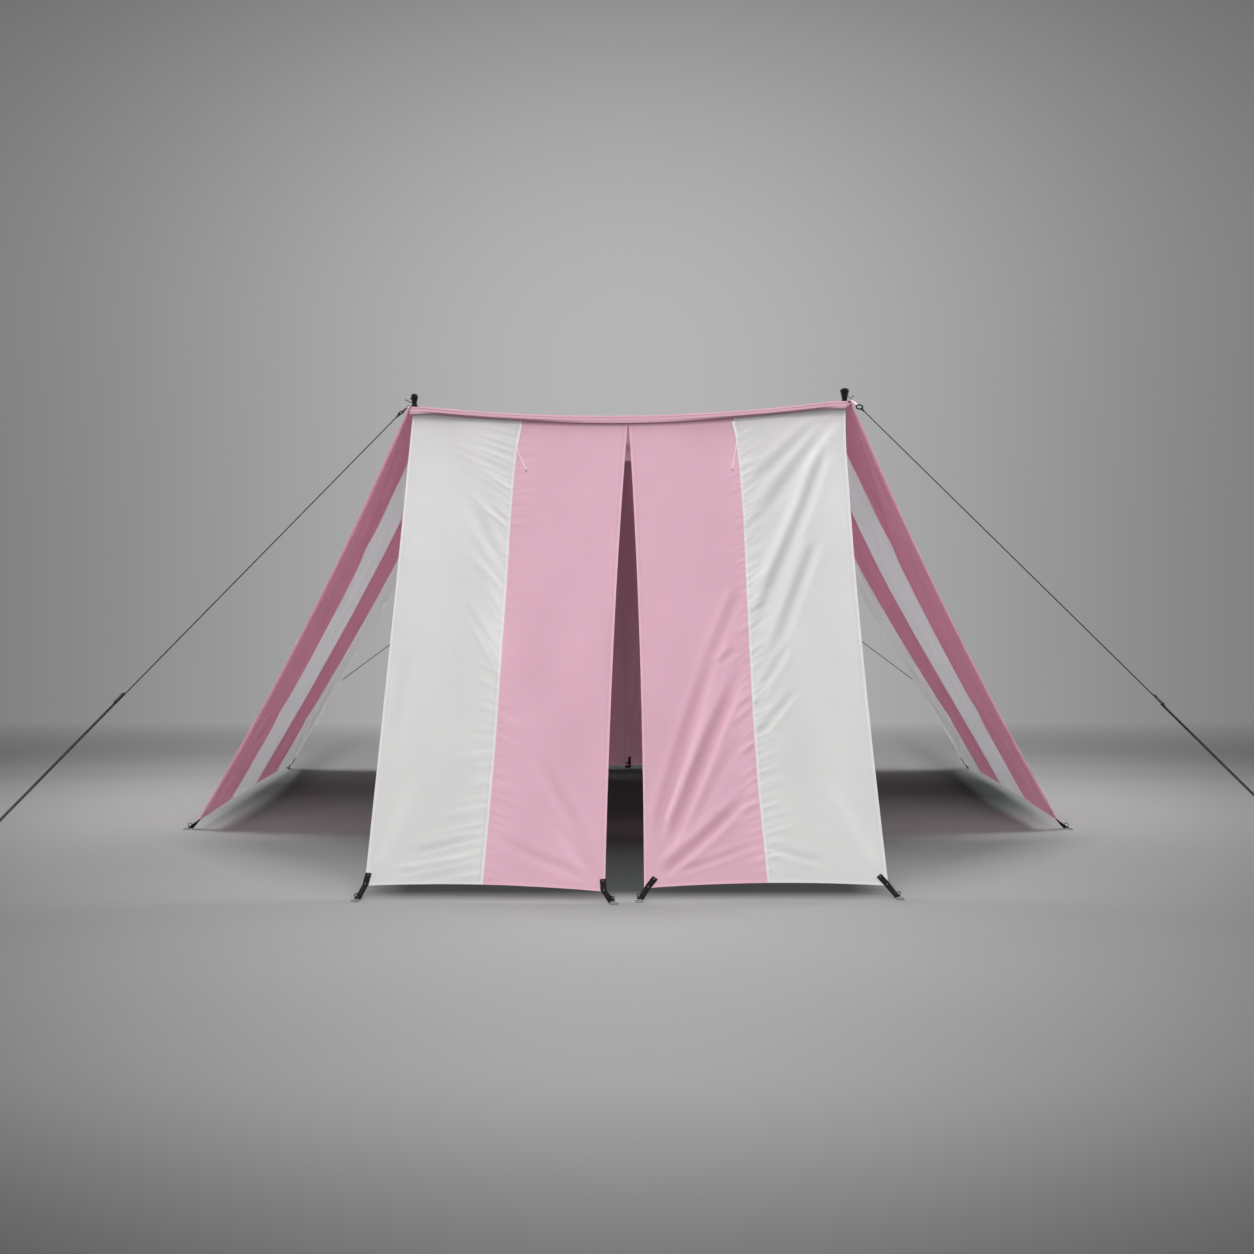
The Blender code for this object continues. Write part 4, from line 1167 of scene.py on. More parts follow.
# Folds of the front wall: lines of (metres from the slit, metres down), width, depth
FRONT_VALLEYS = {
    -1: [([(0.674, 0.481), (0.568, 0.719), (0.472, 0.958)], 0.026, 0.0015),
         ([(0.627, 0.857), (0.542, 0.987), (0.469, 1.140)], 0.024, 0.0013),
         ([(0.564, 1.168), (0.466, 1.391)], 0.021, 0.0011),
         ([(0.865, 1.276), (0.880, 1.560), (0.897, 1.849)], 0.028, 0.0016),
         ([(0.843, 2.335), (0.680, 2.302), (0.514, 2.274)], 0.014, 0.0022),
         ([(0.785, 2.246), (0.485, 2.174)], 0.016, 0.0026),
         ([(0.020, 2.340), (0.226, 2.062)], 0.024, 0.0022),
         ([(0.025, 2.345), (0.437, 2.182)], 0.022, 0.0020),
         ([(0.016, 2.330), (0.150, 2.060), (0.321, 1.757)], 0.026, 0.0022)],
    1: [([(0.856, 0.218), (0.740, 0.567), (0.555, 1.048), (0.463, 1.332)], 0.026, 0.0060),
        ([(0.787, 0.741), (0.588, 1.282), (0.521, 1.421)], 0.024, 0.0048),
        ([(0.906, 0.048), (0.683, 0.399), (0.477, 0.724)], 0.030, 0.0040),
        ([(0.850, 0.056), (0.485, 0.472)], 0.030, 0.0036),
        ([(0.438, 1.001), (0.278, 1.414)], 0.024, 0.0034),
        ([(0.400, 1.320), (0.312, 1.415)], 0.018, 0.0026),
        ([(0.036, 2.306), (0.062, 2.080), (0.173, 1.720), (0.265, 1.455), (0.350, 1.180)], 0.024, 0.0058),
        ([(0.044, 2.310), (0.141, 2.080), (0.286, 1.723), (0.439, 1.366)], 0.026, 0.0088),
        ([(0.090, 2.300), (0.341, 1.845), (0.463, 1.624)], 0.022, 0.0018),
        ([(0.055, 2.325), (0.133, 2.262), (0.240, 2.170), (0.425, 1.990)], 0.022, 0.0068),
        ([(0.100, 2.325), (0.300, 2.262), (0.450, 2.200)], 0.014, 0.0020),
        ([(0.470, 1.577), (0.643, 1.278)], 0.018, 0.0030),
        ([(0.468, 1.744), (0.653, 1.511)], 0.018, 0.0030),
        ([(0.471, 2.225), (0.717, 2.291)], 0.018, 0.0026)],
}
FRONT_RIDGES = {
    -1: [([(0.786, 2.315), (0.645, 2.290), (0.487, 2.257)], 0.016, 0.0030),
         ([(0.900, 2.330), (0.760, 1.900)], 0.030, 0.0025)],
    1: [([(0.900, 2.330), (0.720, 1.900)], 0.030, 0.0030),
        ([(0.900, 0.060), (0.640, 0.760), (0.500, 1.060)], 0.034, 0.0040),
        ([(0.060, 2.300), (0.180, 1.900), (0.290, 1.560)], 0.026, 0.0040)],
}

# Gathers along the front seams: from, to (metres down), rise and reach at both, width, height, pitch
FRONT_GATHERS = {
    (-1, 1): [(0.10, 0.45, 0.25, 0.6, 0.26, 0.30, 0.012, 0.0019, 0.030),
              (0.45, 1.45, 0.8, 2.0, 0.27, 0.34, 0.014, 0.0019, 0.034),
              (1.45, 1.75, 0.8, 0.0, 0.14, 0.12, 0.012, 0.0013, 0.036),
              (1.75, 2.32, -0.2, -0.2, 0.16, 0.34, 0.012, 0.0018, 0.036)],
    (-1, -1): [(0.10, 0.65, 0.20, 0.25, 0.16, 0.12, 0.011, 0.0011, 0.034),
               (0.65, 1.50, 0.2, -0.3, 0.09, 0.08, 0.010, 0.0005, 0.045),
               (1.50, 2.32, -0.5, -0.4, 0.12, 0.14, 0.011, 0.0013, 0.036)],
    (1, 1): [(0.12, 1.60, 0.8, 1.0, 0.12, 0.15, 0.010, 0.0022, 0.026),
             (1.60, 2.32, 0.6, 0.2, 0.12, 0.12, 0.010, 0.0018, 0.034)],
    (1, -1): [(0.30, 1.00, -0.7, -0.7, 0.08, 0.08, 0.009, 0.0012, 0.034),
              (1.00, 1.55, -0.8, -1.0, 0.10, 0.12, 0.009, 0.0014, 0.034),
              (1.55, 2.32, -1.0, -0.3, 0.14, 0.10, 0.010, 0.0020, 0.032)],
}

# Where the front seams run: metres down, and the share of the way from the slit
SEAM_PLACE = {
    -1: [(0.0, 0.07, 0.155, 0.39, 0.63, 1.06, 1.78, 2.00, 2.36),
         (0.490, 0.492, 0.504, 0.507, 0.506, 0.4995, 0.495, 0.4975, 0.504)],
    1: [(0.0, 0.07, 0.29, 0.63, 1.07, 1.66, 2.00, 2.36),
        (0.481, 0.483, 0.500, 0.505, 0.499, 0.490, 0.492, 0.504)],
}
FOLD_FADE = {-1: (0.30, 0.45), 1: (0.15, 0.35)}


class TENT_OT_front_wall(Operator):
    bl_idname = "tent.front_wall"
    bl_label = "Front wall"

    def execute(self, context):
        """The two splayed front panels. Each is a grid of the way from the slit by the way down,
        raised along its normal by the listed folds and by gathers along the seam."""
        settings = context.scene.tent_cloth
        width, height, split = FRONT_WIDTH, FRONT_LENGTH, FRONT_SPLIT
        for side, word in SIDES.items():
            s = lines([(0, 0.32, 0.0125), (0.32, 0.64, 0.0070), (0.64, width, 0.0125)],
                      marks(width, (split,)))
            d = lines([(0, 0.05, 0.0125), (0.05, height, 0.0058)], marks(height)[2:])
            dd, ss = np.meshgrid(d, s, indexing="ij")
            down = dd / height
            seam = np.interp(dd, *SEAM_PLACE[side])
            across = np.where(ss < split, ss / split * seam,
                              1 - (width - ss) / (width - split) * (1 - seam))
            u = across * width
            base = front_point(side, across, down)
            normal = grid_normals(base, (0, -1, 0))
            hem = hem_map(ss, dd, width, height, (split,))
            relief = self.relief(side, u, dd, settings)
            relief = relief * smooth((dd - 0.045) / 0.05)
            edges = np.minimum.reduce([u, width - u, height - dd])
            relief = relief * (0.25 + 0.75 * smooth(edges / 0.03))
            outer = base + normal * (relief + hem_step(hem) - 0.0008)[..., None]
            thick = settings.thickness + 1.6 * hem_step(hem)
            stripes = (s[:-1] + s[1:] > 2 * split).astype(int)
            # Painted shadow on the wall just under the roof's band, reaching further down towards the outer
            # corner; the folds get painted light and shade.
            reach = 0.022 + 0.026 * smooth((ss - 0.60) / 0.30)
            shade = 0.9 * (1 - smooth((dd - 0.042) / reach))
            shape = Shape()
            cloth(shape, outer, (0, -1, 0), thick, np.stack([u, dd], axis=-1), hem, stripes,
                  painted_fold_light(relief, d, shade))
            piece = add_piece(f"front_cloth_{word}", shape, [finish("pink"), finish("white")],
                              "white_cloth", f"front_panel_{word}")
        return {"FINISHED"}

    def relief(self, side, u, d, settings):
        """Sum of the drawn valleys, ridges, gathers and slow drifts of one panel, in metres."""
        total = (drift(u, d, 0.16, 0.45, 41 + side) * 0.0026
                 + drift(u, d, 0.07, 0.16, 43 + side) * 0.0010)
        for line, wide, deep in FRONT_VALLEYS[side]:
            total = total + drawn(u, d, line, wide, deep * settings.folds, FOLD_FADE[side])
        for line, wide, high in FRONT_RIDGES[side]:
            total = total + fold(u, d, line, wide, high * settings.folds)
        rows, places = SEAM_PLACE[side]
        seam = (rows, np.array(places) * FRONT_WIDTH)
        for away in (-1, 1):
            rows = FRONT_GATHERS[side, away]
            total = total + puckers(u, d, seam, away, rows, 51 + side * 2 + away) * settings.puckers
        return total


# The long fold beside the back wall's lap: (metres from the panel's inner edge, metres down)
BACK_MIDDLE_FOLD = {-1: [(0.038, 0.913), (0.020, 1.283), (0.001, 1.499)],
                    1: [(0.041, 1.499), (0.063, 1.807)]}


class TENT_OT_back_wall(Operator):
    bl_idname = "tent.back_wall"
    bl_label = "Back wall"

    def execute(self, context):
        """The two upright back panels, which lap at the middle and are drawn to the straps."""
        settings = context.scene.tent_cloth
        height = BACK_LENGTH
        for side, word in SIDES.items():
            lap = BACK_LAP if side > 0 else 0.0
            width = EAVE_X[side] - WALL_INSET + lap
            split = BACK_SPLIT + lap
            s = lines([(0, width, 0.0135)], marks(width, (split,)))
            d = lines([(0, height, 0.0115)], marks(height)[2:])
            dd, ss = np.meshgrid(d, s, indexing="ij")
            base = back_point(side, ss / width, dd / height)
            hem = hem_map(ss, dd, width, height, (split,))
            relief = (drift(ss, dd, 0.10, 0.7, 61 + side) * 0.0030
                      + drift(ss, dd, 0.05, 0.2, 63 + side) * 0.0008)
            middle = (lap, height - 0.01)
            for angle, length in ((0.10, 1.1), (0.30, 0.9), (0.58, 0.8), (0.90, 0.6)):
                tip = (middle[0] + math.sin(angle) * length, middle[1] - math.cos(angle) * length)
                relief = relief + fold(ss, dd, [middle, tip], (0.012, 0.040), 0.0045 * settings.folds)
            for angle, length in ((0.12, 0.9), (0.40, 0.7)):
                tip = (width - math.sin(angle) * length, height - 0.02 - math.cos(angle) * length)
                relief = relief + fold(ss, dd, [(width - 0.02, height - 0.02), tip], (0.012, 0.035), 0.0035)
            relief = relief + fold(ss, dd, BACK_MIDDLE_FOLD[side], 0.009, 0.0060, (0.1, 0.12))
            edges = np.minimum.reduce([ss, width - ss, height - dd])
            relief = relief * smooth((dd - 0.03) / 0.05) * (0.15 + 0.85 * smooth(edges / 0.03))
            if side < 0:
                relief = np.minimum(relief, 0.0004)
            else:
                relief = np.where(ss < 2 * lap, np.maximum(relief, -0.0003), relief)
            outer = base + (relief + hem_step(hem, 0.0006) - 0.0010)[..., None] * np.array([0, 1, 0])
            thick = settings.thickness + 1.5 * hem_step(hem, 0.0006)
            stripes = (s[:-1] + s[1:] > 2 * split).astype(int)
            shape = Shape()
            # Painted light and shade on the folds.
            cloth(shape, outer, (0, 1, 0), thick, np.stack([ss, dd], axis=-1), hem, stripes,
                  painted_fold_light(relief, d))
            piece = add_piece(f"back_cloth_{word}", shape, [finish("pink"), finish("white")],
                              "white_cloth", f"back_panel_{word}")
        return {"FINISHED"}


# Poles, knobs, tabs and rings
POLE_RADIUS = 0.0125
POLE_TIP_RADIUS = 0.0090
POLE_INSET_X = {-1: 0.018, 1: 0.024}
POLE_INSET_Y = 0.030
TAB_WIDTH = 0.028
TAB_THICK = 0.0025
TAB_LIFT = 0.0008
TAB_ON_ROOF = 0.0155
TAB_OVERHANG = 0.008
TAB_LENGTH = 0.036
TAB_DIP = math.radians(38)
TAB_LIGHT_SHARE = {-1: 0.66, 1: 1.0}
RING_RADIUS = 0.0150
RING_WIRE = 0.0032
REAR_TAB_WIDTH = 0.040
REAR_TAB_PATH = [(0.0, -0.004), (0.0005, -0.030), (0.022, -0.048)]
REAR_GUY_SPREAD = 0.010


def corner_place(side, end):
    """Where a pole stands, and the height of the roof's upper face over it."""
    x, y = side * (EAVE_X[side] - POLE_INSET_X[side]), end * (HALF_D - POLE_INSET_Y)
    return np.array([x, y, 0.0]), float(roof_z(x, y))


class TENT_OT_poles(Operator):
    bl_idname = "tent.poles"
    bl_label = "Poles"

    def execute(self, context):
        """Each pole is two drawn tubes, the upper let into the lower, with a plastic foot."""
        for end, place in ENDS.items():
            for side, word in SIDES.items():
                foot, roof = corner_place(side, end)
                top = roof - ROOF_CLOTH - 2 * GAP
                r = POLE_RADIUS
                shape = Shape()
                turned(shape, [(0, 0), (r * 0.94, 0), (r, 0.0015), (r, 0.045), (r * 0.96, 0.048),
                               (0, 0.048)], foot, slots=1)
                turned(shape, [(0, 0.0465), (r * 0.92, 0.0465), (r * 0.92, 0.985), (r, 0.990), (r, 1.020),
                               (r * 0.93, 1.024), (r * 0.80, 1.0245), (0, 1.0245)], foot)
                tip = POLE_TIP_RADIUS
                turned(shape, [(0, 1.022), (r * 0.82, 1.022), (r * 0.82, top - 0.022),
                               (r * 0.78, top - 0.020), (tip * 0.8, top - 0.019),
                               (tip * 0.78, top - 0.003), (tip * 0.5, top), (0, top)], foot)
                add_piece(f"tent_pole_{place}_{word}", shape, [finish("pole"), finish("plastic")],
                          "pole_metal", f"pole_{place}_{word}")
        return {"FINISHED"}


# Knobs as (radius, height), and the bent clip of the right ones as (way out, height)
ROUND_KNOB = [(0, 0), (0.0164, 0), (0.0180, 0.0012), (0.0180, 0.0056), (0.0160, 0.0080),
              (0.0122, 0.0125), (0.0118, 0.018), (0.0121, 0.025), (0.0130, 0.032), (0.0152, 0.038),
              (0.0170, 0.044), (0.0172, 0.050), (0.0158, 0.056), (0.0120, 0.0612),
              (0.0062, 0.0642), (0, 0.065)]
FLARED_KNOB = [(0, 0), (0.0136, 0), (0.0140, 0.0020), (0.0130, 0.0060), (0.0128, 0.0120),
               (0.0144, 0.022), (0.0168, 0.034), (0.0198, 0.0460), (0.0214, 0.0508),
               (0.0213, 0.0535), (0.0184, 0.0584), (0.0122, 0.0622), (0.0054, 0.0646), (0, 0.0653)]
KNOB_CLIP = [(0.0150, 0.0310), (0.0205, 0.0225), (0.0262, 0.0140), (0.0300, 0.0150),
             (0.0370, 0.0225), (0.0435, 0.0300)]
PIN_BALL = [(0, -0.0030), (0.0021, -0.0021), (0.0030, 0), (0.0021, 0.0021), (0, 0.0030)]


class TENT_OT_knobs(Operator):
    bl_idname = "tent.knobs"
    bl_label = "Knobs"

    def execute(self, context):
        """Turned knobs over the poles: round with a balled pin on the left, flared with a bent clip
        on the right."""
        for end, place in ENDS.items():
            for side, word in SIDES.items():
                foot, roof = corner_place(side, end)
                base = foot + np.array([0, 0, roof + 2 * GAP])
                shape = Shape()
                turned(shape, ROUND_KNOB if side < 0 else FLARED_KNOB, base, around=40)
                if side < 0:
                    pin, ball = base + (-0.011, 0, 0.0205), base + (-0.041, 0, 0.0355)
                    way = unit(ball - pin)
                    bar(shape, even_path([pin, ball], 0.004), 0.0018, (0, 1, 0))
                    for place_on, size in ((ball, 1.0), (base + (-0.0165, 0, 0.0405), 1.5)):
                        turned(shape, np.array(PIN_BALL) * size, place_on, way, 16)
                else:
                    clip = smooth_path([base + (out, 0, rise) for out, rise in KNOB_CLIP], 0.002)
                    thick = 0.0012 + 0.0008 * smooth(np.linspace(-0.6, 1.0, len(clip)))
                    bar(shape, clip, thick, (0, 1, 0))
                add_piece(f"knob_{place}_{word}", shape, [finish("plastic")],
                          "black_fitting", f"cap_{place}_{word}")
        return {"FINISHED"}


def guy_line(side, end):
    """Where a guy starts on the roof's edge, and where its peg stands."""
    foot = np.array([side * GUY_FOOT_X[ENDS[end]][side], end * GUY_FOOT_Y, 0.0])
    if end < 0:
        corner = side * EAVE_X[side]
        head = np.array([corner, -HALF_D, float(roof_z(corner, -HALF_D))])
    else:
        head = np.array([0.0, HALF_D + GAP + HEM_CLOTH, float(roof_z(0.0, HALF_D))])
    return head, foot


def tab_frame(side):
    """The front corner tab: points of its bent path, its across, its slope and its face."""
    head, foot = guy_line(side, -1)
    out = unit((foot - head) * (1, 1, 0))
    across = np.cross((0, 0, 1), out)
    slope = out * math.cos(TAB_DIP) - np.array([0, 0, 1]) * math.sin(TAB_DIP)
    top = head + np.array([0, 0, TAB_LIFT])
    bend = top + out * TAB_OVERHANG
    tip = bend + slope * TAB_LENGTH
    face = np.cross(slope, across)
    centre = tip + slope * (RING_RADIUS + RING_WIRE + GAP) + face * TAB_THICK / 2
    return [top - out * TAB_ON_ROOF, bend, tip], across, slope, face, centre


def rear_tab_path():
    head, _ = guy_line(1, 1)
    return np.array([head + np.array([0, GAP + out, rise]) for out, rise in REAR_TAB_PATH])


def guy_exits():
    """Where each guy leaves its ring or the rear tab, and in which direction."""
    exits = {}
    for side in SIDES:
        _, _, slope, _, centre = tab_frame(side)
        exits[side, -1] = (centre + slope * (RING_RADIUS + RING_WIRE), slope)
        path = rear_tab_path()
        slope = unit(path[-1] - path[-2])
        tip = path[-1] + np.cross((1, 0, 0), slope) * TAB_THICK / 2
        exits[side, 1] = (tip + np.array([side * REAR_GUY_SPREAD, 0, 0]), slope)
    return exits


class TENT_OT_tabs(Operator):
    bl_idname = "tent.tabs"
    bl_label = "Tabs and rings"

    def execute(self, context):
        """Webbing tabs at the front corners, folded round their rings, and the tab at the rear edge."""
        for side, word in SIDES.items():
            path, across, slope, face, centre = tab_frame(side)
            shape = Shape()
            bent = smooth_path([path[0], path[0] * 0.4 + path[1] * 0.6, path[1],
                                path[1] * 0.5 + path[2] * 0.5, path[2] + slope * 0.004], 0.002)
            count = len(bent)
            taper = 1 - 0.18 * smooth(np.linspace(-0.4, 1.0, count))
            show = int(count * TAB_LIGHT_SHARE[side])
            up = np.cross(-across, unit(np.gradient(bent, axis=0)))
            strap(shape, bent[:show], -across, 0.0011, TAB_WIDTH, taper=taper[:show])
            # The tab's lower layer, in the dark red copy of the webbing as painted shade for its underside;
            # on the left the upper layer stops short so that it shows.
            lower = slice(int(count * 0.32), count)
            strap(shape, (bent - up * 0.0011)[lower], -across, 0.0010, TAB_WIDTH * 0.99,
                  taper=taper[lower], slots=1)
            if side < 0:
                tie = bent[int(count * 0.20):] + (up * 0.0034)[int(count * 0.20):]
                bar(shape, tie, GUY_RADIUS * 0.8, across, 8, slots=2)
            add_piece(f"webbing_tab_{word}", shape,
                      [finish("pink_webbing"), finish("pink_painted_shade"), finish("guy")],
                      "pink_cloth", f"corner_tab_{word}")
            shape = Shape()
            turned_in = across if side < 0 else unit(0.5 * face + 0.85 * across)
            ring(shape, centre, slope, turned_in, RING_RADIUS, RING_WIRE)
            add_piece(f"tab_ring_{word}", shape, [finish("plastic")], "black_fitting",
                      f"corner_ring_{word}")
        path = rear_tab_path()
        shape = Shape()
        bent = smooth_path(path, 0.002)
        strap(shape, bent, (1, 0, 0), TAB_THICK * 0.9, REAR_TAB_WIDTH,
              taper=1 - 0.25 * smooth(np.linspace(-0.3, 1.0, len(bent))))
        add_piece("webbing_tab_rear", shape, [finish("pink_webbing")], "pink_cloth", "rear_tab")
        return {"FINISHED"}


# Guy lines, runners and guy pegs
GUY_RADIUS = 0.0025
GUY_FOOT_X = {"front": {-1: 2.565, 1: 2.66}, "rear": {-1: 2.66, 1: 2.66}}
GUY_FOOT_Y = 2.70
GUY_EYE_HEIGHT = 0.012
RUNNER_SIZE = (0.062, 0.026, 0.005)
RUNNER_FROM_FOOT = {"front": {-1: 1.090, 1: 1.085}, "rear": {-1: 0.460, 1: 0.460}}
GUY_PEG_HEIGHT = 0.050
GUY_PEG_HOOK = [(0.010, 0.008), (0.024, 0.002), (0.028, -0.012)]
PEG_WIRE = 0.0025


class TENT_OT_guys(Operator):
    bl_idname = "tent.guys"
    bl_label = "Guys"

    def execute(self, context):
        """Each guy runs down from its ring or tab, round its peg and back up to the runner."""
        exits = guy_exits()
        for end, place in ENDS.items():
            for side, word in SIDES.items():
                _, foot = guy_line(side, end)
                eye = foot + np.array([0, 0, GUY_EYE_HEIGHT])
                start, out = exits[side, end]
                ahead = unit(eye - start)
                first = start + out * (GAP + GUY_RADIUS * math.sqrt(1 - (ahead @ out) ** 2))
                ahead = unit(eye - first)
                across = np.cross(ahead, (0, 0, 1))
                level = np.linalg.norm(across)
                across = across / level
                turn = (PEG_WIRE + GUY_RADIUS + 2 * GAP) / (level * math.cos(math.pi / 16))
                angles = np.linspace(0, math.pi, 17)[:, None]
                bend = eye + turn * (ahead * np.sin(angles) - across * np.cos(angles))
                grip = eye - ahead * RUNNER_FROM_FOOT[place][side]
                last = grip + ahead * RUNNER_SIZE[0] / 4 + across * turn
                down = np.linspace(first, bend[0], 260)[:-1]
                back = np.linspace(bend[-1], last, 90)[1:]
                shape = Shape()
                bar(shape, np.concatenate([down, bend, back]), GUY_RADIUS * 0.96, (0.05, 0.05, 1.0))
                if end < 0:
                    self.hitch(shape, exits[side, end], ahead)
                add_piece(f"guy_cord_{place}_{word}", shape, [finish("guy")], "guy_cord",
                          f"guy_{place}_{word}")
                self.runner(f"runner_bar_{place}_{word}", grip, ahead, across, f"runner_{place}_{word}")
                self.peg(f"guy_pin_{place}_{word}", foot, (side, end), f"guy_peg_{place}_{word}")
        return {"FINISHED"}

    def hitch(self, shape, leave, ahead):
        """Two turns of the cord round the ring's lower wire, and two round the cord below them."""
        start, out = leave
        side = unit(np.cross(ahead, (0, 0, 1)))
        up = np.cross(side, ahead)
        centre = start - out * RING_WIRE
        angle = np.linspace(0, 4 * math.pi, 60)[:, None]
        coil = (centre + (out * np.cos(angle) + up * np.sin(angle)) * (RING_WIRE + 0.0017)
                + side * np.linspace(-0.0028, 0.0028, 60)[:, None])
        bar(shape, coil, 0.0015, side, 8)
        knot = start + ahead * 0.010
        wrap = (knot + (side * np.cos(angle) + up * np.sin(angle)) * 0.0035
                + ahead * np.linspace(-0.004, 0.004, 60)[:, None])
        bar(shape, wrap, 0.0016, ahead, 8)

    def runner(self, name, middle, ahead, across, node):
        """A flat bar with rounded ends and two raised eyes where the cord goes through."""
        up = np.cross(across, ahead)
        length, width, thick = RUNNER_SIZE
        bottom = middle + up * (GUY_RADIUS + GAP)
        t = np.linspace(-1, 1, 33)
        path = bottom + ahead * (t * length / 2)[:, None]
        round_end = np.sqrt(np.clip(1 - np.clip((np.abs(t) - 0.62) / 0.38, 0, 1) ** 2, 0.04, 1))
        shape = Shape()
        strap(shape, path, across, thick * 0.8, width * 0.86, 0.0012, taper=round_end)
        for place in (-0.62, 0.62):
            eye = bottom + ahead * place * length / 2 + up * thick * 0.78
            ring(shape, eye, ahead, across, 0.0042, 0.0011, 24, 8)
        add_piece(name, shape, [finish("plastic")], "black_fitting", node)

    def peg(self, name, base, heading, node):
        """The wire of the peg above ground, with its hook."""
        flat = unit(np.array([*heading, 0.0]))
        top = base + np.array([0, 0, GUY_PEG_HEIGHT])
        hook = [top + flat * out + np.array([0, 0, rise]) for out, rise in GUY_PEG_HOOK]
        path = smooth_path([base, (base + top) / 2, top] + hook, 0.003)
        shape = Shape()
        bar(shape, path, PEG_WIRE * 0.98, np.cross(flat, (0, 0, 1)), 16)
        add_piece(name, shape, [finish("steel")], "peg_wire", node)


# Pegging straps and the wire loops that hold them down
STRAP_WIDTH = 0.026
STRAP_THICK = 0.003
STRAP_ON_CLOTH = 0.051
STRAP_BEND = 0.004
STRAP_LIFT = 0.0007
STRAP_LEAN = {"inner": {-1: -0.10, 1: -0.79}, "outer": {-1: 0.175, 1: 0.81}}
STRAP_PLACE = {"inner": {-1: 0.0045, 1: 0.014}, "outer": {-1: 0.997, 1: 0.998}}
STRAP_LANDING = {"inner": {-1: (-0.028, 0.027), 1: (-0.026, 0.031)},
                 "outer": {-1: (0.0175, 0.054), 1: (0.030, 0.022)}}
WING_STRAP_PLACE = {"front": 0.012, "rear": 0.988}
WING_STRAP_TWIST = {"front": 0.95, "rear": 0.0}
STRAP_RING = (0.0115, 0.0016)
BACK_STRAP_INSET = 0.022
BACK_FACE = HALF_D - WALL_INSET + WALL_CLOTH
PEG_LOOP = 0.0142
PEG_LOOP_AHEAD = 0.017
PEG_SHANK = 0.018
PEG_AHEAD = 0.006
STRAP_END_LIFT = 2 * PEG_WIRE + 0.0005
PEG_HEADING = {"inner": {-1: -0.5, 1: -0.4}, "outer": {-1: 0.5, 1: 0.5}}
WING_PEG_OUT = {"front": (0.052, 0.0), "rear": (0.020, 0.040)}
WING_PEG_HEADING = {"front": (1.0, -0.1), "rear": (0.3, 1.0)}
BACK_PEG_OUT = 0.032
BACK_MIDDLE_WIDTH = 0.036
RIVET_HEAD = [(0, -0.0006), (0.0030, -0.0006), (0.0030, 0.0003), (0.0026, 0.0009),
              (0.0016, 0.0013), (0, 0.0015)]


